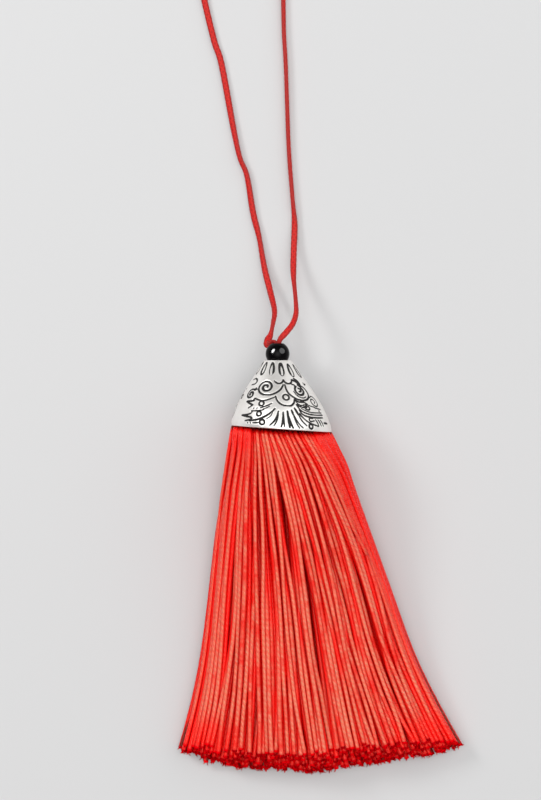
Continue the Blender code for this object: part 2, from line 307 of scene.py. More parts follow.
def make_silk(twist):
    """Glossy red plied silk: a painted highlight along the crests, painted shade in a deep red between
    the plies.
    """
    material, sheet, shader = new_material("red_silk", (0.8, 0.05, 0.04))
    tone, tip, outermost = (sheet.attribute(name) for name in ("tone", "tip", "outermost"))
    yarn = sheet.add("ShaderNodeGroup", {
        "Plies": 2.0, "Pitch": 1.4, "Fibre": 0.15, "Shift": sheet.maths("MULTIPLY", tone, SHADE_TWIST),
        "Facing": sheet.attribute("facing")}, node_tree=twist).outputs
    streak_place = sheet.place(sheet.maths("MULTIPLY", tone, SHADE_STREAK),
                               sheet.maths("MULTIPLY", yarn["Along"], STREAKS_PER_MM))
    streak = sheet.noise(streak_place, 1.0, 4.0, 0.65)
    # Painted highlight: streaks and tone set its strength, and it lies on the crest of threads that lie
    # open.
    highlight_share = sheet.maths("MULTIPLY_ADD", sheet.maths("SUBTRACT", streak, 0.5), STREAK_HIGHLIGHT,
                         sheet.maths("MULTIPLY_ADD", tone, TONE_HIGHLIGHT, LEAST_HIGHLIGHT))
    crest = sheet.remap(yarn["Crest"], 0.38, 0.95)
    highlight_share = sheet.maths("MULTIPLY", sheet.remap(highlight_share, -0.1, 0.8), crest)
    highlight_share = sheet.maths("MULTIPLY", highlight_share, outermost, clamp=True)
    # Painted light: the more a thread is buried, the brighter its red.
    body = sheet.blend(sheet.remap(outermost, 0.05, 0.60), SILK_BURIED_PAINTED_LIGHT, SILK_OPEN)
    body = sheet.blend(highlight_share, body, SILK_PAINTED_HIGHLIGHT)
    # Painted shade between the plies.
    body = sheet.blend(sheet.maths("MULTIPLY", yarn["Groove"], 0.5), body, SILK_GROOVE_SHADE)
    # Cut ends: their own deeper red and painted shade.
    body = sheet.blend(tip, body, SILK_CUT_END_AND_SHADE)
    # Painted shade of the rim: a thread there has an openness below 0, and its crest darkens last.
    shade = sheet.maths("MULTIPLY_ADD", outermost, -1.0, sheet.maths("MULTIPLY", yarn["Crest"], -0.35))
    body = sheet.blend(sheet.remap(shade, 0.0, 0.3), body, SILK_RIM_PAINTED_SHADE)
    rough = sheet.maths("MULTIPLY_ADD", yarn["Groove"], 0.35, 0.24)
    sheet.fill(shader, {
        "Base Color": body,
        "Roughness": sheet.maths("MULTIPLY_ADD", tip, 0.4, rough, clamp=True),
        "Specular IOR Level": 0.62,
        "Specular Tint": (1.0, 0.60, 0.44),
        "Subsurface Weight": 0.5,
        "Subsurface Radius": (1.0, 0.12, 0.06),
        "Subsurface Scale": 0.7 * MM,
        "Normal": sheet.bump(yarn["Height"], 1.0, 0.06),
    })
    return material


def make_cut_silk():
    """The cut ends of the threads: a deep matt red, partly their own colour and partly painted shade from
    the layers above.
    """
    material, sheet, shader = new_material("cut_silk", (0.6, 0.02, 0.03))
    shade = sheet.remap(sheet.attribute("tone"), 0.1, 0.9)
    sheet.fill(shader, {
        "Base Color": sheet.blend(shade, (0.36, 0.0, 0.002), (0.80, 0.001, 0.004)),
        "Roughness": 0.7,
        "Specular IOR Level": 0.0,
    })
    return material


def make_braid(twist):
    """Red braided cord, softer and less bright than the threads, with painted shade in its valleys, along
    its thin edges and where it enters the bead.
    """
    material, sheet, shader = new_material("red_braid", (0.6, 0.04, 0.04))
    relief = sheet.attribute("relief")
    yarn = sheet.add("ShaderNodeGroup", {"Plies": 9.0, "Pitch": 0.45, "Fibre": 0.5}, node_tree=twist)
    around = sheet.strand_place()[0]
    # Painted shade: the thin edges of the flat braid darker.
    edge = sheet.maths("ABSOLUTE", sheet.maths("COSINE", sheet.maths("MULTIPLY", around, math.tau)))
    # Painted shade: the braid's valleys darker than its raised strands.
    shaded_braid = sheet.blend(relief, (0.30, 0.002, 0.004), (0.58, 0.012, 0.011))
    sheet.fill(shader, {
        "Base Color": sheet.blend(sheet.remap(edge, 0.5, 1.0, 0.0, 0.7), shaded_braid, (0.30, 0.016, 0.016)),
        "Roughness": 0.55,
        "Specular IOR Level": 0.45,
        "Specular Tint": (1.0, 0.6, 0.5),
        "Normal": sheet.bump(yarn.outputs["Height"], 0.35, 0.04),
    })
    return material


def make_silver():
    """Bright satin silver with blackened engraving and a faint stain along its strokes."""
    material, sheet, shader = new_material("engraved_silver", (0.85, 0.84, 0.80))
    engraved = sheet.attribute("engraving")
    place = sheet.add("ShaderNodeTexCoord").outputs["Object"]
    cloud = sheet.noise(place, 260.0, 4.0)
    grain = sheet.noise(place, 2600.0, 3.0, 0.6)
    bright = sheet.blend(sheet.remap(cloud, 0.35, 0.75), (0.93, 0.905, 0.875), (0.86, 0.83, 0.795))
    bright = sheet.blend(sheet.remap(engraved, 0.02, 0.35, 0.0, 0.2), bright, (0.35, 0.34, 0.32))
    black = sheet.remap(engraved, 0.25, 0.55)
    rough = sheet.maths("MULTIPLY_ADD", grain, 0.12, 0.30)
    sheet.fill(shader, {
        "Base Color": sheet.blend(black, bright, (0.010, 0.009, 0.009)),
        "Metallic": sheet.maths("MULTIPLY_ADD", black, -0.7, 0.7),
        "Roughness": sheet.maths("MULTIPLY_ADD", black, 0.5, rough),
        "Normal": sheet.bump(grain, 0.25, 0.05),
    })
    return material


def make_black_bead():
    """Polished black stone."""
    material, sheet, shader = new_material("black_bead", (0.01, 0.01, 0.01))
    cloud = sheet.noise(sheet.add("ShaderNodeTexCoord").outputs["Object"], 700.0, 3.0)
    sheet.fill(shader, {
        "Base Color": sheet.blend(cloud, (0.0005, 0.0005, 0.0005), (0.003, 0.0025, 0.003)),
        "Roughness": sheet.maths("MULTIPLY_ADD", cloud, 0.04, 0.08),
        "Specular IOR Level": 0.07,
    })
    return material


def make_floor():
    """Plain pale floor."""
    material, sheet, shader = new_material("pale_floor", (0.8, 0.8, 0.8))
    sheet.fill(shader, {"Base Color": (0.57, 0.57, 0.572), "Roughness": 0.8})
    return material


# ---------------------------------------------------------------- cap

RIM_RADIUS = 12.5
CAP_TOP = np.array([-10.93, 49.8, RIM_RADIUS])
CAP_RIM = np.array([-9.93, 32.7, RIM_RADIUS])
CAP_LENGTH = float(np.linalg.norm(CAP_RIM - CAP_TOP))
RIM_SLANT = math.radians(-3.9)
CAP_HOLE_RADIUS = 2.75
# The cap's outline: millimetres below its top, and outer radius.
CAP_OUTLINE = ((0.0, 3.5), (3.5, 5.8), (6.1, 7.6), (8.1, 8.9), (10.7, 10.4), (12.8, 11.4), (15.9, 12.45),
               (CAP_LENGTH, 12.5))
# The wall, the same wall measured straight out from the axis, and the wall round the hole.
CAP_WALL = 0.7
CAP_WALL_ACROSS = 1.15 * CAP_WALL
CAP_TOP_WALL = 1.4 * CAP_WALL
# Rounding of the cap's edges.
CAP_EDGE = 0.22
CAP_EDGE_STEPS = 5
CAP_COLUMNS = 560
CAP_ROWS = 120
CAP_INNER_ROWS = 9


def cap_radius(below):
    """Outer radius of the cap at a distance below its top."""
    return smooth_table(*zip(*CAP_OUTLINE), below)


def cap_places(below, radius, angle):
    """Places round the cap's axis. Angle 90 degrees is straight up."""
    below, radius, angle = np.broadcast_arrays(below, radius, angle)
    along = (below / CAP_LENGTH)[..., None]
    slant = RIM_SLANT * along[..., 0]
    across = np.stack([np.cos(slant), np.sin(slant), np.zeros_like(slant)], axis=-1)
    side = across * (radius * np.cos(angle))[..., None]
    rise = np.zeros_like(side)
    rise[..., 2] = radius * np.sin(angle)
    return CAP_TOP + (CAP_RIM - CAP_TOP) * along + side + rise


def cap_spot(below, offset):
    """A place inside the cap, at an offset from its axis sideways and upwards."""
    share = below / CAP_LENGTH
    slant = RIM_SLANT * share
    centre = CAP_TOP + (CAP_RIM - CAP_TOP) * share
    return centre + np.array([offset[0] * math.cos(slant), offset[0] * math.sin(slant), offset[1]])


# How deep the strokes are cut, how wide the slope of their sides is, and how much bolder they are
# cut than the tables below give them.
ENGRAVING_DEPTH = 0.11
ENGRAVING_EDGE = 0.07
STROKE_WEIGHT = 1.14
STROKE_SPACING = 0.05
STROKE_SAMPLES = 16
PETAL_SAMPLES = 60
RING_SAMPLES = 40
SPIRAL_SAMPLES = 160
# How thin a stroke is at its ends, and how thin and full a spiral's stroke is.
STROKE_TIP = 0.74
SPIRAL_WEIGHT = (0.85, 0.30)
# Below 1, a spiral closes in soonest on its first turn.
SPIRAL_TIGHTENING = 0.85
# How full a petal is at its pointed top.
PETAL_POINT = 0.55

# The ornament is engraved twice round the cap, in front and at the back. Places are degrees
# round from its middle, and millimetres below the cap's top.
ORNAMENT_MIDDLE = 9.2
PETALS = 13
PETAL_TOP = 0.8
PETAL_BOTTOM = 3.85
PETAL_HALF_WIDTH = 0.66
# The ring of petals sits a little askew on the cap, this far lower at its right.
PETAL_DROP = 0.33
# The petals' strokes, taken in turn: half their widths at the top, on both sides and at the foot.
Petal = namedtuple("Petal", "top left right foot")
PETAL_KINDS = (
    Petal(0.31, 0.25, 0.19, 0.10),
    Petal(0.22, 0.26, 0.15, 0.12),
    Petal(0.20, 0.24, 0.26, 0.20),
    Petal(0.24, 0.20, 0.13, 0.16),
    Petal(0.20, 0.25, 0.15, 0.24),
    Petal(0.24, 0.12, 0.27, 0.07),
    Petal(0.18, 0.10, 0.26, 0.14),
)
# Lines: half the width of the stroke, then the places that it passes.
Line = namedtuple("Line", "stroke places")
# A line that both halves of the ornament have, given for its left half.
CENTRE_LINES = (
    Line(0.24, ((-18, 5.2), (-14, 5.65), (-9, 5.8), (-4, 5.6), (-1.2, 5.2), (0, 4.85))),
)
LEFT_LINES = (
    Line(0.21, ((-15.5, 9.0), (-13.6, 9.9), (-10, 10.7), (-5, 11.15), (0, 11.25))),
    Line(0.20, ((-15.5, 9.1), (-22, 9.6), (-30, 10.1), (-37, 10.2), (-44, 9.95), (-49, 9.7))),
    Line(0.26, ((-46, 9.8), (-49, 9.8), (-50, 10.3))),
    Line(0.19, ((-21, 10.8), (-25, 11.25), (-30, 11.65), (-36, 12.1))),
    Line(0.13, ((-23, 11.5), (-27, 11.95), (-32, 12.3))),
    Line(0.16, ((-31, 12.5), (-37, 12.75), (-43, 12.9), (-49, 13.0))),
    Line(0.25, ((-16.5, 12.1), (-20, 12.85), (-24, 13.5), (-31, 14.4), (-39, 15.1), (-49, 15.5))),
    Line(0.12, ((-19.5, 13.2), (-22, 14.0), (-27, 14.8))),
    Line(0.17, ((-37, 15.9), (-41, 15.95), (-44, 16.0))),
    Line(0.22, ((-6.2, 12.9), (-6.8, 14.2), (-8.0, 15.5), (-9.6, 16.5))),
    Line(0.18, ((-6.2, 12.9), (-6.0, 14.4), (-5.9, 15.6), (-5.7, 16.4))),
    Line(0.23, ((-12, 12.7), (-14, 14.0), (-17.5, 15.2), (-22.5, 16.3))),
    Line(0.18, ((-12, 12.7), (-13, 14.2), (-15.2, 15.5), (-18, 16.4))),
    Line(0.24, ((-48, 10.3), (-53, 10.45), (-58, 10.5), (-62.5, 10.6))),
    Line(0.22, ((-62.5, 10.6), (-57, 10.95), (-52, 11.25), (-48.5, 11.45))),
    Line(0.20, ((-48.5, 11.45), (-51.5, 11.8), (-54, 12.15))),
    Line(0.20, ((-47, 13.1), (-49, 13.6), (-55, 14.0), (-64, 14.2))),
    Line(0.22, ((-64, 14.2), (-55, 14.45), (-48, 14.6), (-46, 14.9))),
    Line(0.20, ((-46, 14.9), (-49, 15.25), (-56, 15.6))),
    Line(0.20, ((-77, 4.95), (-69, 4.7), (-62, 4.95), (-59, 5.5), (-62, 6.05), (-71, 6.3))),
    Line(0.18, ((-50, 7.5), (-53, 7.15), (-56, 7.4))),
)
RIGHT_LINES = (
    # the arm that rolls up into the large scroll, and the scroll's inner turn
    Line(0.23, ((1.6, 6.1), (2.4, 7.1), (4.5, 8.0), (9, 8.75), (14, 9.3), (19, 9.65), (26, 9.8),
                (34, 9.6), (40, 9.0), (43, 8.2), (42, 7.2), (38, 6.5), (31, 6.1))),
    Line(0.28, ((28, 6.1), (33, 6.7), (35, 7.5), (32, 8.2), (27, 8.5), (22, 8.3), (19, 7.7), (19, 7.0),
                (23, 6.4))),
    Line(0.26, ((26, 6.9), (30, 7.1), (29, 7.6), (25.5, 7.7))),
    Line(0.14, ((15, 7.6), (18, 8.5), (23, 9.05), (29, 9.2), (35, 8.9))),
    # leaves over the scroll
    Line(0.34, ((19, 4.9), (26, 5.1), (31, 5.8))),
    Line(0.28, ((26, 4.5), (32, 5.1), (35, 5.9))),
    Line(0.20, ((15, 5.9), (20, 6.1), (20, 6.8))),
    Line(0.20, ((47, 5.6), (48, 6.0), (52, 5.8))),
    # small scroll at the side
    Line(0.16, ((42, 9.1), (46, 8.8), (51, 8.9), (55, 9.6), (55, 10.5), (50, 11.1), (44, 10.9),
                (41, 10.2), (43, 9.5), (47, 9.5), (50, 10.1), (47, 10.4))),
    # the bowl and the fern that sweeps from it to the rim
    Line(0.22, ((0, 11.25), (5, 11.2), (10, 10.5), (12.5, 9.6))),
    Line(0.22, ((12.5, 9.7), (18, 10.2), (25, 10.2), (31, 10.6))),
    Line(0.15, ((13, 9.9), (16, 10.7), (21, 11.0), (29, 10.8), (36, 11.1), (44, 11.4))),
    Line(0.20, ((14, 10.9), (18, 11.3), (25, 11.6))),
    Line(0.18, ((24, 11.3), (29, 11.2), (33, 11.5), (31, 12.0), (26, 11.9), (25.5, 11.6), (28, 11.55))),
    Line(0.18, ((13, 10.9), (17.5, 12.2), (25, 12.9), (36, 13.2), (55, 13.15))),
    Line(0.14, ((19, 11.8), (27, 12.4), (37, 12.7), (54, 12.65))),
    Line(0.20, ((15.5, 12.2), (18.5, 13.1), (24, 13.6), (35, 13.85), (53, 13.8))),
    Line(0.17, ((32, 14.1), (28.5, 14.0), (26.5, 14.4), (28.5, 14.8), (34, 14.6))),
    Line(0.14, ((13, 13.0), (17, 13.8), (21, 14.5), (25, 15.1))),
    Line(0.18, ((15, 13.0), (18.5, 14.0), (23, 14.8), (28, 15.3), (33, 15.6), (39, 15.9))),
    Line(0.19, ((36.5, 14.35), (38.5, 14.95), (39.5, 15.7))),
    Line(0.19, ((41, 14.35), (43, 14.95), (44, 15.7))),
    Line(0.19, ((45.5, 14.4), (47.5, 15.0), (48.5, 15.7))),
    Line(0.16, ((43, 11.5), (49, 11.65), (56, 11.85))),
    Line(0.25, ((52.0, 15.05), (60.0, 15.1))),
    # rays
    Line(0.27, ((-0.8, 12.6), (-0.6, 14.0), (-0.2, 15.4), (0.3, 16.5))),
    Line(0.24, ((-0.4, 13.6), (1.0, 14.8), (2.4, 15.8), (4.2, 16.6))),
    Line(0.24, ((4.8, 12.3), (5.5, 12.8), (6.3, 13.4))),
    Line(0.15, ((6.0, 13.2), (7.6, 14.6), (9.6, 15.8), (12, 16.6))),
    Line(0.15, ((7.0, 13.4), (9.5, 14.7), (12.8, 15.8), (16.4, 16.5))),
    Line(0.27, ((9.4, 11.8), (11.6, 12.7), (13.2, 13.4))),
    Line(0.17, ((13.2, 13.4), (16, 14.7), (21.5, 15.9))),
)
# Between the back ornament and the front one: a pair of joined scrolls with dots round them.
SIDE_LINES = (
    Line(0.24, ((-74.0, 8.7), (-74.4, 9.9), (-79, 11.0), (-86, 11.5), (-90.2, 12.4), (-90.6, 13.6))),
    Line(0.18, ((-84, 12.0), (-80, 12.1), (-76.5, 11.5))),
    Line(0.18, ((-80, 10.3), (-84, 10.3), (-88, 10.9))),
)
# Rings and dots: place, radius in millimetres and half the width of the stroke.
Ring = namedtuple("Ring", "round_place below radius stroke")
RINGS = (
    Ring(0, 9.15, 0.76, 0.21),
    Ring(-35.5, 10.95, 0.66, 0.20),
    Ring(-37, 13.55, 0.62, 0.20),
    Ring(-32, 15.65, 0.66, 0.22),
    Ring(-41, 12.2, 0.0, 0.17),
    Ring(-46, 12.25, 0.0, 0.17),
    Ring(-54.5, 12.2, 0.0, 0.22),
    Ring(-47.5, 16.05, 0.0, 0.18),
    Ring(-51.5, 16.05, 0.0, 0.17),
    Ring(27, 16.0, 0.56, 0.21),
    Ring(50, 12.25, 0.0, 0.24),
)
SIDE_RINGS = (
    Ring(-83, 6.0, 0.0, 0.26),
    Ring(-73, 13.6, 0.55, 0.20),
    Ring(-94, 9.4, 0.55, 0.20),
    Ring(-73, 15.6, 0.0, 0.24),
    Ring(-94, 7.4, 0.0, 0.24),
)
# Spirals: centre, outer and inner radius in millimetres, where the outer end lies in
# degrees (0 right, 90 down), and how far it turns.
Spiral = namedtuple("Spiral", "round_place below outer inner start turn stroke")
SPIRALS = (
    Spiral(-32.8, 6.75, 2.42, 0.36, 80, 640, 0.26),
    Spiral(-60, 8.7, 1.62, 0.25, -50, -560, 0.25),
)
SIDE_SPIRALS = (
    Spiral(-83, 8.7, 1.45, 0.25, 0, -560, 0.24),
    Spiral(-83, 13.7, 1.50, 0.25, 180, -560, 0.24),
)
# The arm that ends in the large spiral.
ARM_STROKE = 0.24
ARM = ((-1.6, 6.1), (-3.4, 6.55), (-6.5, 7.15), (-10.5, 7.7), (-15, 8.15), (-20, 8.5), (-25, 8.72))


def on_cap(round_place, below, right, down):
    """Shift a place on the cap by millimetres along its surface."""
    radius = float(cap_radius(below))
    slope = math.atan(float(cap_radius(below + 0.5) - cap_radius(below - 0.5)))
    return round_place + math.degrees(right / radius), below + down * math.cos(slope)


def stroke_points(places, stroke):
    """A smooth stroke through places, as rows of degrees, millimetres and half width."""
    points = smooth_route([(*place, 0.0) for place in places], STROKE_SAMPLES)
    reach = np.linspace(0.0, 1.0, len(points))
    taper = STROKE_TIP + (1.0 - STROKE_TIP) * np.sin(math.pi * np.clip(reach * 0.9 + 0.05, 0, 1))
    return np.column_stack([points[:, 0], points[:, 1], stroke * taper])


def petal_points(number):
    """A pointed loop whose sides and foot are of different weights."""
    middle = 360.0 / PETALS * number
    kind = PETAL_KINDS[number % len(PETAL_KINDS)]
    turn = np.linspace(0.0, math.tau, PETAL_SAMPLES)
    share = (1 - np.cos(turn)) / 2
    side = np.sin(turn) * (PETAL_POINT + (1.0 - PETAL_POINT) * share)
    below = PETAL_TOP + (PETAL_BOTTOM - PETAL_TOP) * share
    below = below + PETAL_DROP * math.sin(math.radians(middle + ORNAMENT_MIDDLE))
    place = [on_cap(middle, b, PETAL_HALF_WIDTH * w, 0.0)[0] for b, w in zip(below, side)]
    flank = np.where(side > 0, kind.right, kind.left)
    weight = kind.top + (flank - kind.top) * smooth_step(0.0, 0.45, share)
    weight = weight + (kind.foot - flank) * smooth_step(0.72, 0.97, share)
    return np.column_stack([place, below, weight])


def ring_points(ring):
    """A small engraved ring, or a dot when it has no radius."""
    places = [on_cap(ring.round_place, ring.below, ring.radius * math.cos(turn),
                     ring.radius * math.sin(turn)) for turn in np.linspace(0.0, math.tau, RING_SAMPLES)]
    return np.array([(*place, ring.stroke) for place in places])


def spiral_points(spiral):
    """An engraved spiral that winds inwards."""
    rows = []
    for share in np.linspace(0.0, 1.0, SPIRAL_SAMPLES):
        angle = math.radians(spiral.start + spiral.turn * share)
        radius = spiral.outer + (spiral.inner - spiral.outer) * share ** SPIRAL_TIGHTENING
        place = on_cap(spiral.round_place, spiral.below, radius * math.cos(angle),
                       radius * math.sin(angle))
        weight = SPIRAL_WEIGHT[0] + SPIRAL_WEIGHT[1] * math.sin(math.pi * share ** 2)
        rows.append((*place, spiral.stroke * weight))
    return np.array(rows)


def engraved_strokes():
    """Every stroke on the cap, as places on its surface and half widths, in millimetres."""
    spirals = [spiral_points(spiral) for spiral in SPIRALS]
    arm = list(ARM) + [tuple(spirals[0][0, :2])]
    centre = [stroke_points(line.places, line.stroke) for line in CENTRE_LINES]
    halves = [stroke_points(line.places, line.stroke) for line in LEFT_LINES + RIGHT_LINES]
    halves += [ring_points(ring) for ring in RINGS] + spirals + [stroke_points(arm, ARM_STROKE)]
    sides = [stroke_points(line.places, line.stroke) for line in SIDE_LINES]
    sides += [ring_points(ring) for ring in SIDE_RINGS]
    sides += [spiral_points(spiral) for spiral in SIDE_SPIRALS]
    mirror = np.array([-1.0, 1.0, 1.0])
    ornament = halves + centre + [stroke * mirror for stroke in centre]
    half_turn = np.array([180.0, 0.0, 0.0])
    strokes = ornament + [stroke + half_turn for stroke in ornament]
    strokes += [stroke * way + half_turn for way in (1.0, mirror) for stroke in sides]
    strokes += [petal_points(number) for number in range(PETALS)]
    places, widths = [], []
    for stroke in strokes:
        angle = np.radians(90.0 - (stroke[:, 0] + ORNAMENT_MIDDLE))
        line = cap_places(stroke[:, 1], cap_radius(stroke[:, 1]), angle)
        run = np.concatenate([[0.0], np.cumsum(np.linalg.norm(np.diff(line, axis=0), axis=1))])
        wanted = np.linspace(0.0, run[-1], max(2, int(run[-1] / STROKE_SPACING)))
        places.append(np.stack([np.interp(wanted, run, line[:, k]) for k in range(3)], axis=1))
        widths.append(np.interp(wanted, run, stroke[:, 2]) * STROKE_WEIGHT)
    return np.concatenate(places), np.concatenate(widths)


def engraving_at(points):
    """How deep inside a stroke each point lies: 0 outside, 1 well inside."""
    places, widths = engraved_strokes()
    tree = KDTree(len(places))
    for index, place in enumerate(places):
        tree.insert(place, index)
    tree.balance()
    depth = np.zeros(len(points))
    for row, point in enumerate(points):
        best = -1.0
        for _, index, distance in tree.find_n(point, 3):
            best = max(best, widths[index] - distance)
        depth[row] = best
    return smooth_step(-ENGRAVING_EDGE, ENGRAVING_EDGE, depth)


def build_cap(material):
    """The engraved cap: thin wall, rounded rim and the hole for the cord at its top."""
    turn = np.linspace(0.0, math.pi / 2, CAP_EDGE_STEPS)
    steep, level = CAP_EDGE * (1 - np.sin(turn)), CAP_EDGE * (1 - np.cos(turn))
    outer = np.linspace(CAP_EDGE, CAP_LENGTH - CAP_EDGE, CAP_ROWS + 1)[1:]
    inner = np.linspace(CAP_LENGTH, CAP_TOP_WALL, CAP_INNER_ROWS)
    below = np.concatenate([steep, level, outer, CAP_LENGTH - steep[1:], inner, [CAP_TOP_WALL]])
    radius = np.concatenate([CAP_HOLE_RADIUS + level, cap_radius(0.0) - steep, cap_radius(outer),
                             cap_radius(CAP_LENGTH) - level[1:], cap_radius(inner) - CAP_WALL_ACROSS,
                             [CAP_HOLE_RADIUS]])
    below, radius, angle = below[:, None], radius[:, None], turned(CAP_COLUMNS)[None, :]
    engraved_rows = slice(2 * CAP_EDGE_STEPS, 2 * CAP_EDGE_STEPS + CAP_ROWS)
    rings = cap_places(below, radius, angle)
    mask = np.zeros(rings.shape[:2])
    shell = rings[engraved_rows].reshape(-1, 3)
    mask[engraved_rows] = engraving_at(shell).reshape(-1, CAP_COLUMNS)
    rings = cap_places(below, radius - ENGRAVING_DEPTH * mask, angle)
    mesh = grid_mesh("cap", rings * MM, close_rows=True)
    point_attribute(mesh, "engraving", mask)
    point_outwards(mesh)
    return add_piece("cap", mesh, material)


# ---------------------------------------------------------------- cord

# The cord's route, up the left leg, round the loop and down the right leg. At the bead it lies
# a little closer than its solid does, because it touches the bead.
CORD_ROUTE = (
    (-11.35, 52.6, 12.2), (-11.4, 54.2, 12.0), (-12.1, 54.5, 11.3), (-12.9, 53.9, 10.2),
    (-13.5, 53.95, 9.2), (-13.2, 55.2, 8.4), (-12.6, 56.7, 7.5), (-12.0, 59.6, 6.3),
    (-11.7, 62.6, 5.0), (-12.8, 67.5, 3.0), (-14.3, 73.7, 1.5), (-15.6, 81.2, 0.85),
    (-17.1, 87.4, 0.8), (-18.7, 96.8, 0.8), (-20.5, 101.5, 0.8), (-22.1, 108.8, 0.8),
    (-25.1, 125.0, 0.8), (-27.0, 131.1, 0.8), (-29.5, 141.5, 0.8), (-30.1, 146.0, 0.8),
    (-29.1, 151.1, 0.8), (-25.0, 154.9, 0.8), (-19.4, 156.2, 0.8), (-14.1, 154.4, 0.8),
    (-10.6, 150.1, 0.8), (-9.6, 145.3, 0.8), (-9.3, 133.5, 0.8), (-8.8, 124.2, 0.8),
    (-8.1, 104.6, 0.8), (-7.2, 92.2, 0.8), (-6.6, 84.8, 0.95), (-6.8, 77.9, 2.0),
    (-6.9, 71.7, 4.2), (-6.4, 65.6, 7.4), (-6.3, 61.7, 9.8), (-7.2, 58.9, 11.6),
    (-8.7, 56.9, 12.5), (-10.2, 55.2, 12.8), (-10.55, 54.2, 12.8), (-10.55, 52.6, 12.7),
)
# How far the flat cord is turned about its own line: distance along it in millimetres, and
# degrees, where 0 and 180 lie flat and 90 and 270 stand on edge.
CORD_TURNS = (
    (0, 70), (3.0, 60), (4.6, 15), (6.9, 5), (9.6, 80), (12.5, 120), (18, 150), (33, 235),
    (40, 200), (55, 235), (66, 205), (80, 180), (100, 195), (135, 240), (152, 268), (188, 270),
    (198, 350), (206, 345), (214, 275), (221, 315), (231, 350),
)
CORD_HALF_WIDTH = 0.80
CORD_HALF_THICKNESS = 0.53
CORD_SIDES = 24
CORD_RING_SPACING = 0.15
ROUTE_SAMPLES = 24
# Inside the bead the cord is pressed, up to these distances from its ends, and beside the bead it
# is spread where it folds over, between these distances along it.
CORD_PRESS = 0.25
CORD_PRESSED = (1.5, 4.0)
CORD_FOLD_SPREAD = 0.22
CORD_FOLD_OPENS = (3.0, 4.5)
CORD_FOLD_CLOSES = (6.5, 8.5)
# Where the route is lower than this, the cord lies on the floor: it is let down a little, and
# kept clear of the floor by its own height there.
CORD_LYING = 1.0
CORD_LYING_DROP = 0.2
CORD_FLOOR_GAP = 0.12
# The braid: strands round the cord, millimetres for one repeat, height of the relief, how round a
# strand is, how far it sinks under a crossing one, and the relief that leaves the girth as it is.
BRAID_STRANDS = 4
BRAID_PITCH = 1.5
BRAID_RELIEF = 0.09
BRAID_ROUNDNESS = 0.7
BRAID_CROSSING = 0.45
BRAID_MEAN = 0.8


def build_cord(material):
    """The whole cord as one flat braid that twists along its route."""
    points, run = even_points(smooth_route(CORD_ROUTE, ROUTE_SAMPLES), CORD_RING_SPACING)
    turn = np.radians(smooth_table(*zip(*CORD_TURNS), run))[:, None]
    ahead = unit(np.gradient(points, axis=0))
    flat = unit(np.cross(ahead, [0.0, 0.0, 1.0]))
    above = np.cross(flat, ahead)
    wide = flat * np.cos(turn) + above * np.sin(turn)
    thin = above * np.cos(turn) - flat * np.sin(turn)
    from_end = np.minimum(run, run[-1] - run)
    squeeze = 1.0 - CORD_PRESS * smooth_fall(*CORD_PRESSED, from_end)
    fold = smooth_step(*CORD_FOLD_OPENS, run) * smooth_fall(*CORD_FOLD_CLOSES, run)
    spread = 1.0 + CORD_FOLD_SPREAD * fold
    half_width = CORD_HALF_WIDTH * squeeze * spread
    half_thickness = CORD_HALF_THICKNESS * squeeze
    half_height = np.hypot(half_width * np.sin(turn[:, 0]), half_thickness * np.cos(turn[:, 0]))
    laid = np.maximum(half_height + CORD_FLOOR_GAP, points[:, 2] - CORD_LYING_DROP)
    points[:, 2] = np.where(points[:, 2] < CORD_LYING, laid, points[:, 2])
    angle = turned(CORD_SIDES)
    around, along = (angle / math.tau)[None, :], run[:, None]
    strand, pitch = BRAID_STRANDS * around, along / BRAID_PITCH
    left_hand, right_hand = (np.abs(np.sin(math.pi * (strand + way * pitch))) for way in (1.0, -1.0))
    over = 0.5 + 0.5 * np.sin(math.tau * strand) * np.sin(math.tau * pitch)
    relief = np.maximum(left_hand ** BRAID_ROUNDNESS * (1.0 - BRAID_CROSSING * (1.0 - over)),
                        right_hand ** BRAID_ROUNDNESS * (1.0 - BRAID_CROSSING * over))
    swell = 1.0 + BRAID_RELIEF / CORD_HALF_THICKNESS * (relief - BRAID_MEAN)
    rings = points[:, None, :]
    for way, size, turning in ((wide, half_width, np.cos(angle)), (thin, half_thickness, np.sin(angle))):
        rings = rings + way[:, None, :] * (size[:, None] * turning[None, :] * swell)[..., None]
    mesh = grid_mesh("cord", rings * MM, cap_ends=True)
    # The relief is kept for painted shade in the braid's valleys; near the bead it falls to 0, a painted
    # shade where the cord enters it.
    away_from_bead = smooth_step(1.0, 4.5, from_end)[:, None]
    point_attribute(mesh, "relief", smooth_step(0.35, 0.95, relief) * away_from_bead)
    add_strand_uv(mesh, CORD_SIDES, run)
    point_outwards(mesh)
    return add_piece("cord", mesh, material), points * MM, run[-1] * MM


def add_strand_uv(mesh, sides, run):
    """UV map of a closed tube: U once round, V the distance along in millimetres."""
    column = np.arange(sides)
    u = np.stack([column, column + 1, column + 1, column], axis=1)
    v = np.stack([run[:-1], run[:-1], run[1:], run[1:]], axis=1)
    wall = np.stack(np.broadcast_arrays(u[None] / sides, v[:, None]), axis=-1).reshape(-1, 2)
    near_end = np.column_stack([column[::-1] / sides, np.full(sides, run[0])])
    far_end = np.column_stack([column / sides, np.full(sides, run[-1])])
    layer = mesh.uv_layers.new(name="UVMap")
    layer.data.foreach_set("uv", np.concatenate([wall, near_end, far_end]).ravel().astype(np.float32))


# ---------------------------------------------------------------- bead

BEAD_RADIUS = 3.0
BEAD_BORE_RADIUS = 1.3
# The hole's edge is softened in two steps.
BEAD_MOUTH_ROUNDING = 0.15
BEAD_LIP = 0.06
BEAD_LIP_WIDTH = 0.04
BEAD_CENTRE = CAP_TOP + np.array([0.0, 1.65, 0.0])
BEAD_SEGMENTS = 72
BEAD_STEPS = 36


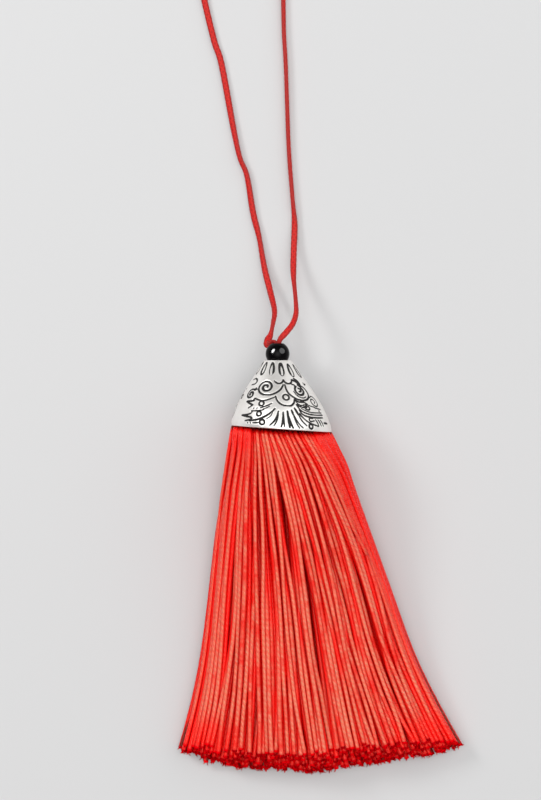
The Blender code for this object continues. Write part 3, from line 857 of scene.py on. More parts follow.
def build_bead(material):
    """Round bead with a softened hole, turned about the tassel's axis."""
    mouth = math.asin((BEAD_BORE_RADIUS + BEAD_MOUTH_ROUNDING) / BEAD_RADIUS)
    turn = np.linspace(mouth, math.pi - mouth, BEAD_STEPS)
    radius, height = BEAD_RADIUS * np.sin(turn), BEAD_RADIUS * np.cos(turn)
    lip, edge = height[0] - BEAD_LIP, height[0] - BEAD_MOUTH_ROUNDING * 1.2
    lip_radius = BEAD_BORE_RADIUS + BEAD_LIP_WIDTH
    radius = np.concatenate([radius, [lip_radius, BEAD_BORE_RADIUS, BEAD_BORE_RADIUS, lip_radius]])
    height = np.concatenate([height, [-lip, -edge, edge, lip]])
    angle = turned(BEAD_SEGMENTS)[None, :]
    rings = np.zeros((len(radius), BEAD_SEGMENTS, 3))
    rings[..., 0] = radius[:, None] * np.cos(angle)
    rings[..., 1] = height[:, None]
    rings[..., 2] = radius[:, None] * np.sin(angle)
    mesh = grid_mesh("bead", (rings + BEAD_CENTRE) * MM, close_rows=True)
    point_outwards(mesh)
    return add_piece("bead", mesh, material)


# ---------------------------------------------------------------- skirt outline

THREAD_RADIUS = 0.50
# A thread opens a little on the way down.
THREAD_SWELL = 0.16
THREAD_CLEARANCE = 0.02
# The line of the cut ends: X and Y, from the left corner to the right one.
END_LINE = ((-36.1, -48.9), (-28.0, -51.1), (-22.8, -52.6), (-12.0, -53.5), (-4.0, -54.3), (2.0, -53.7),
            (8.0, -52.5), (20.0, -51.0), (31.0, -49.0), (36.1, -47.2))
# How much further back the upper threads end.
END_SETBACK = 5.6
END_SETBACK_POWER = 1.2
# The skirt is flat underneath from this share of its length on.
FLAT_FROM = 0.1
FLATTENING = 0.6
# The skirt's sections, from the rim at 0 to the cut ends at 1: X of both sides, height of the
# top, height where it is widest, and height of the underside.
FanRow = namedtuple("FanRow", "along left right top widest under")
FAN_SECTIONS = (
    FanRow(0.00, -22.6, 2.6, 23.8, 12.4, 0.9),
    FanRow(0.02, -22.95, 3.5, 23.9, 12.1, 0.6),
    FanRow(0.04, -23.2, 4.2, 23.9, 11.8, 0.4),
    FanRow(0.10, -24.0, 6.6, 23.4, 10.2, 0.0),
    FanRow(0.20, -25.2, 9.3, 22.2, 7.8, 0.0),
    FanRow(0.35, -26.9, 13.6, 19.8, 5.6, 0.0),
    FanRow(0.50, -28.3, 17.9, 17.4, 4.3, 0.0),
    FanRow(0.70, -30.4, 23.7, 14.6, 3.2, 0.0),
    FanRow(0.85, -32.8, 29.4, 12.8, 2.6, 0.0),
    FanRow(1.00, -36.1, 36.1, 11.2, 2.2, 0.0),
)
Outline = namedtuple("Outline", "middle half top widest bed")


def outline(along):
    """The skirt's cross-section at a share of its length, and how low a thread can lie there."""
    shares, *columns = zip(*FAN_SECTIONS)
    left, right, top, widest, under = (float(smooth_table(shares, column, along)) for column in columns)
    bed = THREAD_RADIUS + (max(0.0, under) if along < FLAT_FROM else 0.0)
    return Outline((left + right) / 2, (right - left) / 2, top, widest, bed)


def end_line(x, height_share):
    """Y of the cut ends, with the upper threads ending further back."""
    setback = END_SETBACK * np.clip(height_share, 0.0, 1.0) ** END_SETBACK_POWER
    return np.interp(x, *zip(*END_LINE)) + setback


def section_place(along, across, rise):
    """X and Z in the cross-section for places in the unit circle."""
    middle, half, top, widest, bed = outline(along)
    flattening = 1.0 + FLATTENING * min(1.0, along / FLAT_FROM)
    upper = widest + (top - THREAD_RADIUS - widest) * rise
    lower = widest + (widest - bed) * np.maximum(-1.0, flattening * rise)
    return middle + (half - THREAD_RADIUS) * across, np.where(rise >= 0, upper, lower)


def thread_girth(along):
    """Thickness of a thread against that at the rim."""
    return 1.0 + THREAD_SWELL * smooth_step(0.05, 0.8, along)


def keep_inside(along, x, z):
    """Bring thread centres back inside the skirt's outline."""
    middle, half, top, widest, bed = outline(along)
    reach, lowest = half - THREAD_RADIUS, bed + THREAD_CLEARANCE
    x = np.clip(x, middle - reach, middle + reach)
    across = (x - middle) / reach
    crown = widest + (top - THREAD_RADIUS - widest) * np.sqrt(np.maximum(0.0, 1.0 - across ** 2))
    return x, np.maximum(np.minimum(z, np.maximum(crown, lowest)), lowest)


def fill_width(along, x):
    """Spread the threads so that the outermost ones touch the skirt's outline."""
    section = outline(along)
    reach = section.half - THREAD_RADIUS * thread_girth(along)
    off = x - section.middle
    return section.middle + off * np.where(off < 0, reach / -off.min(), reach / off.max())


def outward_lean(along, x, z):
    """The way out of the skirt at each thread, as an angle from upright that grows to the right."""
    middle, half, top, widest, _ = outline(along)
    rise = (z - widest) / np.where(z > widest, top - widest, widest) ** 2
    return np.arctan2((x - middle) / half ** 2, rise)


# ---------------------------------------------------------------- where the threads lie

# The threads' bound head inside the cap. Neighbours there lie this far apart.
HEAD_RADIUS = 10.95
THREAD_SPACING = 1.06
# Threads at the cut ends are packed closer and closer from this spacing until all fit in.
END_SPACING = 1.6
END_SPACING_STEP = 0.995
# Dark furrows between clumps: share across the skirt at the ends, width and depth there, the
# share of the length where each one starts to open, and how far it pushes its clumps aside
# halfway down.
Furrow = namedtuple("Furrow", "across width depth opens parts")
FURROWS = (
    Furrow(-0.78, 0.9, 0.6, 0.35, 0.3), Furrow(-0.52, 0.8, 0.5, 0.45, 0.4),
    Furrow(-0.33, 0.9, 0.5, 0.30, 0.6), Furrow(-0.10, 0.8, 0.6, 0.25, 0.3),
    Furrow(0.085, 1.1, 0.8, 0.30, 0.8), Furrow(0.30, 0.8, 0.5, 0.40, 0.3),
    Furrow(0.48, 0.9, 0.7, 0.20, 0.5), Furrow(0.72, 0.8, 0.5, 0.40, 0.3),
)
# A furrow is open after this share of the length. Places across the skirt are turned into
# millimetres with its half width, and clumps are pushed aside within so many furrow widths.
FURROW_OPENING = 0.3
FURROW_SCALE = 36.0
FURROW_REACH = 6.0
FURROWS_ABOVE = 0.2
# How far to the right the crown's threads run and the lowest threads, as a share of the skirt's
# half width. Threads to the left of the parting run straight.
CROWN_LEAN = 0.34
UNDER_LEAN = -0.10
LEAN_GROWS = (0.2, 0.9)
PARTING = -0.54
PARTING_WIDTH = (-0.35, 0.50)
# Places at the rim and at the cut ends are paired within this many columns.
COLUMNS = 25
# How quickly threads swing to their place across the skirt, and settle to their height.
SWING_EASE = 5.0
SETTLE_EASE = 2.0
# Threads of the crown that change places with a neighbour on the way down.
CROSSINGS = 13
CROSSING_SPAN = (0.06, 0.93)
CROSSING_STEP = 3
CROWN_FROM = 0.72
# Threads that lie a little lower than their neighbours: their share of all, and their depth.
LOW_SHARE = 0.34
LOW_DEPTH = (0.15, 0.65)
LOW_FROM = (0.0, 0.15)
# Between these places across the rim the upper threads leave it like fingers, and every second
# one is sunk.
FINGERS_BEGIN = (-0.70, -0.50)
FINGERS_END = (0.48, 0.75)
FINGERS_ABOVE = 0.2
FINGER_SUNK = 0.75
SUNK_UNTIL = (0.10, 0.30)
# A thread strays in two waves sideways and two in height: their sizes and how fast they turn.
SWAY_SIZES = np.array([1.0, 0.25, 0.8, 0.25])
SWAY_TURNS = np.array([4.0, 11.0, 4.5, 12.0])
SWAY_AT_RIM = 0.14
SWAY_GROWTH = 0.70
# How much less the threads at both sides wander than the rest, and where they begin.
SIDE_CALM = 0.85
SIDES_FROM = (0.75, 0.97)
# The threads are laid at this many stations, which stand closer together near the rim.
STATIONS = 18
STATION_SPREAD = 1.6
# Threads that lie too close push each other apart and are drawn back to their places. Part of
# the shift is carried on to the next station.
RELAX_ROUNDS = 40
THREAD_PRESS = 0.92
PUSH = 0.35
PULL_BACK = 0.04
CARRY = 0.8
FAR_APART = 99.0
# A thread is covered by one that lies outside it within this width, counted in thread radii, and
# wholly covered when that one is this many millimetres further out.
COVER_WIDTH = 1.7
COVERED = (0.10, 0.55)
# What counts as near the outside: millimetres below the top, above the floor, and in from a side.
OUTER_DEPTH = 2.1
OUTER_LOW = 1.2
OUTER_SIDE = 1.0
Lay = namedtuple("Lay", "shares x z bare facing height outer start fingers")


def packed_disc(spacing):
    """Close-packed places inside a circle of radius one."""
    step = spacing * math.sqrt(3) / 2
    rows = int(1 / step) + 1
    columns = int(1 / spacing) + 1
    places = [((column + 0.5 * (row % 2)) * spacing, row * step)
              for row in range(-rows, rows + 1) for column in range(-columns, columns + 1)]
    return np.array([place for place in places if math.hypot(*place) <= 1.0])


def packed_end(count):
    """Close-packed places over the cut ends, as places in the unit circle."""
    row = FAN_SECTIONS[-1]
    half = (row.right - row.left) / 2 - THREAD_RADIUS
    above, under = row.top - THREAD_RADIUS - row.widest, row.widest - THREAD_RADIUS
    spacing = END_SPACING
    inside = []
    while len(inside) < count:
        spacing *= END_SPACING_STEP
        step = spacing * math.sqrt(3) / 2
        inside = []
        for layer in range(int(row.top / step) + 1):
            off = THREAD_RADIUS + layer * step - row.widest
            rise = off / above if off >= 0 else off / under / (1.0 + FLATTENING)
            for column in range(-int(half / spacing) - 1, int(half / spacing) + 2):
                across = (column + 0.5 * (layer % 2)) * spacing / half
                if math.hypot(across, rise) <= 1.0:
                    inside.append((across, rise))
    inside = np.array(inside)
    inside[:, 0] /= np.abs(inside[:, 0]).max()
    return inside


def match_places(start, end):
    """Pair rim places with end places, column by column from the lowest to the highest."""
    lean = UNDER_LEAN + (CROWN_LEAN - UNDER_LEAN) * smooth_step(*LEAN_GROWS, start[:, 1])
    parted = smooth_step(*PARTING_WIDTH, start[:, 0] - PARTING)
    wanted = start[:, 0] + lean * parted * np.sqrt(np.maximum(0.0, 1.0 - start[:, 0] ** 2))
    pairs = np.empty(len(start), dtype=int)
    for rim_column, end_column in zip(np.array_split(np.argsort(wanted), COLUMNS),
                                      np.array_split(np.argsort(end[:, 0]), COLUMNS)):
        rim_column = rim_column[np.argsort(start[rim_column, 1])]
        pairs[rim_column] = end_column[np.argsort(end[end_column, 1])]
    return pairs


def cross_neighbours(end):
    """Let some threads of the crown change places with a neighbour."""
    crown = np.flatnonzero(end[:, 1] > CROWN_FROM * np.sqrt(np.maximum(0.0, 1 - end[:, 0] ** 2)))
    crown = crown[np.argsort(end[crown, 0])]
    for place in np.linspace(*CROSSING_SPAN, CROSSINGS):
        pair = crown[int(place * len(crown)) + np.array([0, CROSSING_STEP])]
        end[pair] = end[pair[::-1]]


def rim_fingers(start):
    """Where the threads leave the rim like fingers, and which of them lie sunk there."""
    fingers = smooth_step(*FINGERS_BEGIN, start[:, 0]) * smooth_fall(*FINGERS_END, start[:, 0])
    top_rim = np.hypot(start[:, 0], start[:, 1]) > 1.0 - 1.1 * THREAD_SPACING / HEAD_RADIUS
    top_rim &= start[:, 1] > FINGERS_ABOVE
    order = np.argsort(start[:, 0])
    rank = np.empty(len(start), dtype=int)
    rank[order] = np.cumsum(top_rim[order])
    return fingers, top_rim & (rank % 2 == 0) & (fingers > 0.5)


def part_at_furrows(along, across, rise, x, z):
    """Sink threads into the furrows, and push the clumps between them apart."""
    for furrow in FURROWS:
        opening = smooth_step(furrow.opens, furrow.opens + FURROW_OPENING, along)
        far = (across - furrow.across) * FURROW_SCALE / furrow.width
        z = z - furrow.depth * opening * np.exp(-far * far) * (rise > FURROWS_ABOVE)
        halfway = math.sin(math.pi * np.clip((along - furrow.opens) / (1.0 - furrow.opens), 0.0, 1.0))
        fading = np.exp(-(far / FURROW_REACH) ** 2)
        x = x + furrow.parts * halfway * np.tanh(2.0 * far) * fading * (rise > 0.0)
    return x, z


def relax(along, x, z):
    """Push threads that lie too close apart, and keep each near its own place."""
    home_x, home_z = x.copy(), z.copy()
    near = 2 * THREAD_RADIUS * float(thread_girth(along)) * THREAD_PRESS
    for _ in range(RELAX_ROUNDS):
        dx = x[:, None] - x[None, :]
        dz = z[:, None] - z[None, :]
        apart = np.sqrt(dx * dx + dz * dz) + np.eye(len(x)) * FAR_APART
        push = np.maximum(0.0, near - apart) / np.maximum(apart, 1e-3) * PUSH
        x = x + (push * dx).sum(axis=1) + (home_x - x) * PULL_BACK
        z = z + (push * dz).sum(axis=1) + (home_z - z) * PULL_BACK
        x, z = keep_inside(along, x, z)
    return x, z


def bareness(x, z, lean):
    """How far each thread lies open: 1 where no neighbour lies outside it, 0 where it is buried."""
    dx, dz = x[None, :] - x[:, None], z[None, :] - z[:, None]
    out_x, out_z = np.sin(lean)[:, None], np.cos(lean)[:, None]
    beside = np.abs(dx * out_z - dz * out_x) < COVER_WIDTH * THREAD_RADIUS
    over = np.where(beside, dx * out_x + dz * out_z, 0.0)
    return smooth_fall(*COVERED, over.max(axis=1))


def near_outline(along, x, z):
    """True for threads that lie close under the skirt's surface."""
    middle, half, top, widest, _ = outline(along)
    across = np.clip((x - middle) / half, -1, 1)
    crown = widest + (top - widest) * np.sqrt(1.0 - across ** 2)
    side = (1.0 - np.abs(across)) * half
    return (crown - z < OUTER_DEPTH) | (z < OUTER_LOW) | (side < OUTER_SIDE)


def lay_threads():
    """Lay every thread from the rim to the cut ends.

    The result holds the stations as shares of the length and, station by station, each thread's
    X, Z, how open it lies and which way it faces. For each thread it also holds the height of its
    end, whether it comes near the outside, its place at the rim and its share in the fingers.
    """
    random = np.random.default_rng(SEED)
    start = packed_disc(THREAD_SPACING / HEAD_RADIUS)
    count = len(start)
    end = packed_end(count)
    end = np.delete(end, random.permutation(len(end))[:len(end) - count], axis=0)
    end = end[match_places(start, end)]
    cross_neighbours(end)
    fingers, sunk = rim_fingers(start)
    wander = random.normal(size=(count, 4))
    phase = random.uniform(0, math.tau, size=(count, 4))
    lowered = random.uniform(*LOW_DEPTH, count) * (random.random(count) < LOW_SHARE)
    wander *= 1.0 - SIDE_CALM * smooth_step(*SIDES_FROM, np.abs(end[:, :1]))
    shares = np.linspace(0.0, 1.0, STATIONS) ** STATION_SPREAD
    stations, outer = [], np.zeros(count, dtype=bool)
    carry_x, carry_z = np.zeros(count), np.zeros(count)
    for along in shares:
        across = start[:, 0] + (end[:, 0] - start[:, 0]) * (1.0 - (1.0 - along) ** SWING_EASE)
        rise = start[:, 1] + (end[:, 1] - start[:, 1]) * (1.0 - (1.0 - along) ** SETTLE_EASE)
        x, z = section_place(along, across, rise)
        sway = (SWAY_AT_RIM + SWAY_GROWTH * along) * SWAY_SIZES * wander
        sway = sway * np.sin(phase + SWAY_TURNS * along)
        x = x + sway[:, 0] + sway[:, 1]
        z = z + sway[:, 2] + sway[:, 3] - lowered * smooth_step(*LOW_FROM, along)
        z = z - FINGER_SUNK * sunk * smooth_fall(*SUNK_UNTIL, along)
        x, z = part_at_furrows(along, across, rise, x, z)
        x, z = keep_inside(along, x + CARRY * carry_x, z + CARRY * carry_z)
        before_x, before_z = x - CARRY * carry_x, z - CARRY * carry_z
        if along > 0.0:
            x, z = relax(along, x, z)
        x = fill_width(along, x)
        carry_x, carry_z = x - before_x, z - before_z
        facing = outward_lean(along, x, z)
        stations.append((x, z, bareness(x, z, facing), facing))
        outer |= near_outline(along, x, z)
    return Lay(shares, *np.stack(stations, axis=1), np.clip(end[:, 1], 0.0, 1.0), outer, start, fingers)


# ---------------------------------------------------------------- threads

# Rings along a thread: beside the rim, then spread to the end for open and for hidden threads.
RIM_RINGS = (0.0, 0.003, 0.0065, 0.011)
OUTER_RINGS = 26
INNER_RINGS = 13
RING_SPREAD = 1.6
THREAD_SIDES = 8
# Threads start inside the cap, at these distances below its top, clear of its wall.
HEAD_STATIONS = (5.5, 9.5, 14.2)
HEAD_CLEARANCE = 1.5
RIM_GAP = 0.3
# How far the upper threads dip to come out from under the rim, and the fingers besides.
RIM_DIP = 1.7
RIM_DIP_END = 0.014
FINGER_DIP = 1.4
FINGER_DIP_END = 0.022
DIP_GROWS = (-0.2, 0.6)
# How high above the floor a thread's middle stays, in thread radii.
FLOOR_CLEAR = 1.07
# Threads that lean out less than this turn their crest, where the painted highlight lies, only half as
# far.
HALF_LEAN_BELOW = 2.0
# Rings close to the cut end: distance back from it, how much each one is frayed, and its girth.
END_STEPS = np.array([1.3, 0.6, 0.25, 0.06])
END_TIP = (0.7, 1.0, 1.0, 1.0)
END_GIRTH = np.array([1.0, 1.03, 1.0, 0.7])
CUT_FROM = 0.55
# How unevenly the ends are cut, and the few that are cut worse.
RAGGED = 0.65
ODD_SHARE = 0.06
ODD_RAGGED = 2.4
STOUTNESS = (0.92, 1.12)
# The rim's shade on the threads, how much longer it is on the fingers, and how it varies.
RIM_SHADE = 0.003
FINGER_SHADE = 4.0
SHADE_REACH = (0.75, 1.25)
# How much of the painted highlight is cut, a painted shade: at the right just below the rim, all along
# the rim, and where threads face left. Where they face right it fades out altogether.
RIGHT_HIGHLIGHT_LOSS = 0.85
RIM_HIGHLIGHT_LOSS = 0.35
LEFT_HIGHLIGHT_LOSS = 0.55
FACING_RIGHT = (0.45, 1.15)
FACING_LEFT = (0.15, 1.35)
# Where the painted highlight begins along a thread, how much sooner on the fingers, and where it
# ends on threads that end low.
HIGHLIGHT_FROM = 0.13
FINGER_SOONER = 0.105
END_FADE = (0.90, 0.95)
HIGH_END = (0.6, 0.85)
# Loose fibres at the cut ends.
FIBRE_RADIUS = 0.11
FIBRE_SPREAD = 0.38
FIBRE_REACH = (-0.1, 0.65)
FIBRES_PER_END = 5
FIBRE_SIDES = 4
FIBRE_GIRTH = np.array([1.3, 1.0, 0.6])
# A thread: its points, how much each one is a cut end, its girth, its painted highlight where it lies
# open and painted shade below 0 under the rim, which way it faces, and its own shade.
Thread = namedtuple("Thread", "line tip girth outermost facing tone")


def painted_highlight_and_shade(along, lean, across, fingers, height, reach):
    """Painted highlight and painted rim shade along an open thread: how much painted highlight each place
    keeps, and how much painted shade of the rim lies on it.
    """
    highlight = smooth_fall(*FACING_RIGHT, lean) * (1.0 - LEFT_HIGHLIGHT_LOSS * smooth_step(*FACING_LEFT, -lean))
    right_shoulder = smooth_step(0.45, 0.80, across) * smooth_fall(0.10, 0.35, along)
    under_rim = smooth_step(-0.35, 0.05, across) * smooth_fall(0.04, 0.16, along)
    highlight = highlight * (1.0 - RIGHT_HIGHLIGHT_LOSS * right_shoulder) * (1.0 - RIM_HIGHLIGHT_LOSS * under_rim)
    highlight_from = HIGHLIGHT_FROM - FINGER_SOONER * fingers
    highlight = highlight * smooth_step(0.3 * highlight_from, highlight_from, along)
    shade = np.clip(1.0 - along / (RIM_SHADE * (1.0 + FINGER_SHADE * fingers) * reach), 0.0, 1.0)
    end = 1.0 - smooth_step(*END_FADE, along) * smooth_fall(*HIGH_END, height)
    return highlight * end, shade * end


def to_whole_line(values):
    """Values of the free length, carried on into the head and to the rings at the cut end."""
    return np.concatenate([np.full(4, values[0]), values[:-1], np.full(5, values[-1])])


def thread_lines():
    """Every thread from its bound head to its cut end: the outer ones (True) and the rest (False)."""
    lay = lay_threads()
    random = np.random.default_rng(SEED + 1)
    count = len(lay.start)
    tone = random.uniform(0.0, 1.0, count)
    ragged = random.uniform(-RAGGED, RAGGED, count)
    ragged = np.where(random.random(count) < ODD_SHARE, ragged * ODD_RAGGED, ragged)
    stoutness = random.uniform(*STOUTNESS, count)
    shade_reach = random.uniform(*SHADE_REACH, count)
    half = (FAN_SECTIONS[-1].right - FAN_SECTIONS[-1].left) / 2
    lines = {True: [], False: []}
    for i in range(count):
        start, fingers = lay.start[i], lay.fingers[i]
        rings = OUTER_RINGS if lay.outer[i] else INNER_RINGS
        along = np.concatenate([RIM_RINGS, np.linspace(0.0, 1.0, rings)[2:] ** RING_SPREAD])
        x, z = (smooth_table(lay.shares, values[:, i], along) for values in (lay.x, lay.z))
        dip = RIM_DIP * smooth_fall(0.0, RIM_DIP_END, along)
        dip = dip + FINGER_DIP * fingers * smooth_fall(0.0, FINGER_DIP_END, along)
        dip = dip * smooth_step(*DIP_GROWS, start[1])
        z = np.maximum(z - dip, THREAD_RADIUS * FLOOR_CLEAR * thread_girth(along) + THREAD_CLEARANCE)
        at_rim = cap_spot(CAP_LENGTH, start * HEAD_RADIUS)
        end_y = float(end_line(np.clip(x[-1], -half, half), lay.height[i])) + ragged[i]
        rim_y = at_rim[1] - RIM_GAP
        line = np.stack([x, rim_y + (end_y - rim_y) * along, z], axis=1)
        head = [cap_spot(below, start * min(HEAD_RADIUS, float(cap_radius(below)) - HEAD_CLEARANCE))
                for below in HEAD_STATIONS] + [at_rim]
        for last in head[-2:]:
            last[2] -= dip[0]
        close = line[-1] - unit(line[-1:] - line[-2:-1]) * END_STEPS[:, None]
        line = np.concatenate([head, line[:-1], close, line[-1:]])
        tip = np.zeros(len(line))
        tip[-4:] = END_TIP
        girth = np.ones(len(line))
        girth[4:-4] = thread_girth(along)
        girth[-4:] = END_GIRTH * (1.0 + THREAD_SWELL)
        bare, lean = (np.interp(along, lay.shares, values[:, i]) for values in (lay.bare, lay.facing))
        highlight, shade = painted_highlight_and_shade(along, lean, start[0], fingers, lay.height[i], shade_reach[i])
        lean = np.where(np.abs(lean) < HALF_LEAN_BELOW, 0.5 * lean, lean)
        # Painted light and shade as one number: the painted highlight where a thread lies bare, none
        # where it is buried, and below 0 in the painted shade of the rim.
        thread = Thread(line, tip, girth * stoutness[i], to_whole_line(bare * highlight - shade),
                        to_whole_line(lean), tone[i])
        lines[bool(lay.outer[i])].append(thread)
    return lines


def frayed_fibres(threads):
    """Short loose fibres that stand out of the cut ends."""
    random = np.random.default_rng(SEED + 2)
    girth = FIBRE_RADIUS / THREAD_RADIUS * FIBRE_GIRTH
    fibres = []
    for thread in threads:
        end = thread.line[-1]
        ahead = unit((end - thread.line[-4])[None])[0]
        side = np.array([-ahead[1], ahead[0], 0.0])
        for _ in range(FIBRES_PER_END):
            across, rise = random.normal(0.0, FIBRE_SPREAD, 2)
            reach = random.uniform(*FIBRE_REACH)
            offset = side * across + np.array([0.0, 0.0, rise])
            points = np.stack([end + ahead * forward + offset * outward
                               for forward, outward in ((-0.8, 0.4), (reach * 0.4, 0.7), (reach, 1.2))])
            points[:, 2] = np.maximum(points[:, 2], FIBRE_RADIUS)
            fibres.append(Thread(points, 1.0, girth, 0.0, 0.0, random.random()))
    return fibres


def capture(sheet, geometry, parameter):
    """Keep the distance or the share along a curve. Returns the curve and the value."""
    source = sheet.add("GeometryNodeSplineParameter").outputs[parameter]
    node = sheet.add("GeometryNodeCaptureAttribute", domain="POINT")
    node.capture_items.new("FLOAT", parameter)
    sheet.fill(node, {0: geometry, 1: source})
    return node.outputs[0], node.outputs[1]


def make_thread_tree():
    """Geometry Nodes: a round plied thread along every line, with a UV map."""
    inputs = {"Geometry": "Geometry", "Thread Radius": "Float", "Sides": "Int", "Silk": "Material",
              "Cut Ends": "Material"}
    outputs = {"Geometry": "Geometry"}
    tree, sheet, given, result = new_group("silk_threads", "GeometryNodeTree", inputs, outputs)
    tree.is_modifier = True
    stored = [sheet.add("GeometryNodeInputNamedAttribute", {"Name": name}, data_type="FLOAT")
              for name in ("girth", "tip")]
    girth, tip = (node.outputs["Attribute"] for node in stored)
    thickness = sheet.maths("MULTIPLY", girth, given["Thread Radius"])
    curve = sheet.add("GeometryNodeMeshToCurve", {"Mesh": given["Geometry"]}).outputs["Curve"]
    curve = sheet.add("GeometryNodeSetCurveNormal", {"Curve": curve}, mode="Z_UP").outputs["Curve"]
    curve = sheet.add("GeometryNodeSetCurveRadius", {"Curve": curve, "Radius": thickness})
    curve, along = capture(sheet, curve.outputs["Curve"], "Length")
    circle = sheet.add("GeometryNodeCurvePrimitiveCircle", {"Resolution": given["Sides"], "Radius": 1.0})
    profile, around = capture(sheet, circle.outputs["Curve"], "Factor")
    sweep = sheet.add("GeometryNodeCurveToMesh", {"Curve": curve, "Profile Curve": profile,
                                                  "Fill Caps": True})
    if "Scale" in sweep.inputs:
        sheet.fill(sweep, {"Scale": thickness})
    # The last face round the thread meets the first one: its far corners get 1 instead of 0.
    face_mean = sheet.add("GeometryNodeFieldOnDomain", {0: around}, data_type="FLOAT", domain="FACE")
    seam = sheet.maths("GREATER_THAN", sheet.maths("SUBTRACT", face_mean.outputs[0], around), 0.2)
    uv = sheet.place(sheet.maths("ADD", around, seam), sheet.maths("DIVIDE", along, MM))
    mesh = sheet.add("GeometryNodeStoreNamedAttribute", {
        "Name": "UVMap", "Geometry": sweep.outputs["Mesh"], "Value": uv},
        data_type="FLOAT2", domain="CORNER")
    mesh = sheet.add("GeometryNodeSetShadeSmooth", {"Geometry": mesh.outputs[0]})
    mesh = sheet.add("GeometryNodeRealizeInstances", {0: mesh.outputs[0]})
    mesh = sheet.add("GeometryNodeSetMaterial", {"Geometry": mesh.outputs[0], "Material": given["Silk"]})
    mesh = sheet.add("GeometryNodeSetMaterial", {
        "Geometry": mesh.outputs[0], "Selection": sheet.maths("GREATER_THAN", tip, CUT_FROM),
        "Material": given["Cut Ends"]})
    sheet.fill(result, {0: mesh.outputs[0]})
    return tree


def build_threads(name, threads, sides, tree, silk, cut_silk):
    """One piece made of many threads."""
    starts = np.cumsum([0] + [len(thread.line) for thread in threads]).tolist()
    edges = [(k, k + 1) for first, after in zip(starts, starts[1:]) for k in range(first, after - 1)]
    mesh = bpy.data.meshes.new(name + "_lines")
    mesh.from_pydata((np.concatenate([thread.line for thread in threads]) * MM).tolist(), edges, [])
    for field in Thread._fields[1:]:
        values = [np.broadcast_to(getattr(thread, field), len(thread.line)) for thread in threads]
        point_attribute(mesh, field, np.concatenate(values))
    strands = place_object(name, mesh)
    modifier = strands.modifiers.new("threads", "NODES")
    modifier.node_group = tree
    values = {"Thread Radius": THREAD_RADIUS * MM, "Sides": sides, "Silk": silk, "Cut Ends": cut_silk}
    for socket in tree.interface.items_tree:
        if socket.name in values:
            modifier[socket.identifier] = values[socket.name]
    graph = bpy.context.evaluated_depsgraph_get()
    finished = bpy.data.meshes.new_from_object(strands.evaluated_get(graph))
    finished.name = name
    bpy.data.objects.remove(strands, do_unlink=True)
    bpy.data.meshes.remove(mesh)
    return add_piece(name, finished)


# ---------------------------------------------------------------- floor, light and camera

VIEW_CENTRE = (-12.7, 39.9)
VIEW_DISTANCE = 750.0
VIEW_HEIGHT_AT_AXIS = 200.0
SENSOR_HEIGHT = 24.0
FLOOR_HALF_WIDTH = 3.0
FLOOR_HEIGHT = -0.00005
# The sky: how bright it is all round, and how much it brightens overhead and to the right.
SKY_ALL_ROUND = 0.20
SKY_OVERHEAD = (10.0, 4.1)
SKY_RIGHT = (2.0, 0.30)


def add_floor(material):
    """A wide plain floor just under the tassel."""
    mesh = bpy.data.meshes.new("floor")
    half = FLOOR_HALF_WIDTH
    corners = [(-half, -half, 0.0), (half, -half, 0.0), (half, half, 0.0), (-half, half, 0.0)]
    mesh.from_pydata(corners, [], [(0, 1, 2, 3)])
    mesh.materials.append(material)
    floor = place_object("floor", mesh)
    floor.location.z = FLOOR_HEIGHT


def add_softbox(name, place, target, size, power):
    """An area light that faces a target."""
    light = bpy.data.lights.new(name, "AREA")
    light.shape = "RECTANGLE"
    light.size, light.size_y = size
    light.energy = power
    lamp = place_object(name, light)
    lamp.location = place
    lamp.rotation_euler = (Vector(target) - Vector(place)).to_track_quat("-Z", "Y").to_euler()
    return lamp


def add_bead_lights(bead):
    """Two windows that only the polished bead mirrors."""
    only_bead = bpy.data.collections.new("lit_bead")
    only_bead.objects.link(bead)
    target = (BEAD_CENTRE * MM).tolist()
    for name, place, size, power in (("left_window", (-0.62, 0.44, 0.55), (0.66, 0.40), 110.0),
                                     ("right_window", (0.62, 0.46, 0.56), (0.85, 0.95), 30.0)):
        lamp = add_softbox(name, place, target, size, power)
        lamp.data.shape = "ELLIPSE"
        lamp.visible_diffuse = False
        lamp.light_linking.receiver_collection = only_bead


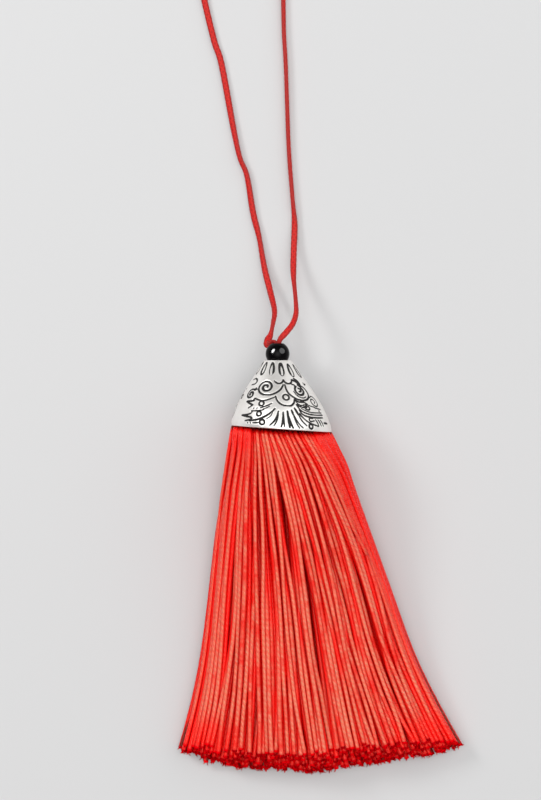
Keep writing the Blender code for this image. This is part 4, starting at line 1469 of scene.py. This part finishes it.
def add_lights():
    """A key light on the left, a broad fill on the right and pale surroundings."""
    target = (-0.010, 0.030, 0.010)
    add_softbox("key", (-0.62, 0.44, 0.53), target, (0.24, 0.24), 3.2)
    add_softbox("fill", (0.63, 0.50, 0.54), target, (0.95, 0.8), 2.6)
    world = bpy.data.worlds.new("studio")
    world.use_nodes = True
    sheet = NodeSheet(world.node_tree)
    place = sheet.add("ShaderNodeTexCoord").outputs["Generated"]
    direction = sheet.add("ShaderNodeSeparateXYZ", {0: place}).outputs
    glow = SKY_ALL_ROUND
    for way, (power, size) in (("Z", SKY_OVERHEAD), ("X", SKY_RIGHT)):
        share = sheet.maths("POWER", sheet.maths("MAXIMUM", direction[way], 0.0), power)
        glow = sheet.maths("MULTIPLY_ADD", share, size, glow)
    sheet.fill(world.node_tree.nodes["Background"], {"Strength": glow, "Color": (1.0, 1.0, 1.0)})
    bpy.context.scene.world = world
    bpy.context.scene.view_settings.view_transform = "Standard"


def add_camera():
    """Straight above the tassel, with the cord at the top."""
    data = bpy.data.cameras.new("camera")
    data.sensor_fit = "VERTICAL"
    data.sensor_height = SENSOR_HEIGHT
    data.lens = SENSOR_HEIGHT * VIEW_DISTANCE / VIEW_HEIGHT_AT_AXIS
    camera = place_object("camera", data)
    camera.location = (VIEW_CENTRE[0] * MM, VIEW_CENTRE[1] * MM, (RIM_RADIUS + VIEW_DISTANCE) * MM)
    bpy.context.scene.camera = camera


# ---------------------------------------------------------------- build

def main():
    twist = make_twist_group()
    silk = make_silk(twist)
    braid = make_braid(twist)
    add_camera()
    add_floor(make_floor())
    add_lights()
    cord, cord_path, cord_length = build_cord(braid)
    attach(cord, "root")
    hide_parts("cord_loop", "cord_shank")
    bead = build_bead(make_black_bead())
    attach(bead, "root")
    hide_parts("bead")
    add_bead_lights(bead)
    cap = build_cap(make_silver())
    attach(cap, "root")
    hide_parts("cap")
    tree = make_thread_tree()
    cut_silk = make_cut_silk()
    lines = thread_lines()
    outer = build_threads("threads_outer", lines[True], THREAD_SIDES, tree, silk, cut_silk)
    inner = build_threads("threads_inner", lines[False], THREAD_SIDES, tree, silk, cut_silk)
    ends = frayed_fibres(lines[True] + lines[False])
    fibres = build_threads("cut_fibres", ends, FIBRE_SIDES, tree, silk, cut_silk)
    for piece in (outer, inner, fibres):
        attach(piece, "root")
    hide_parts("skirt")


main()
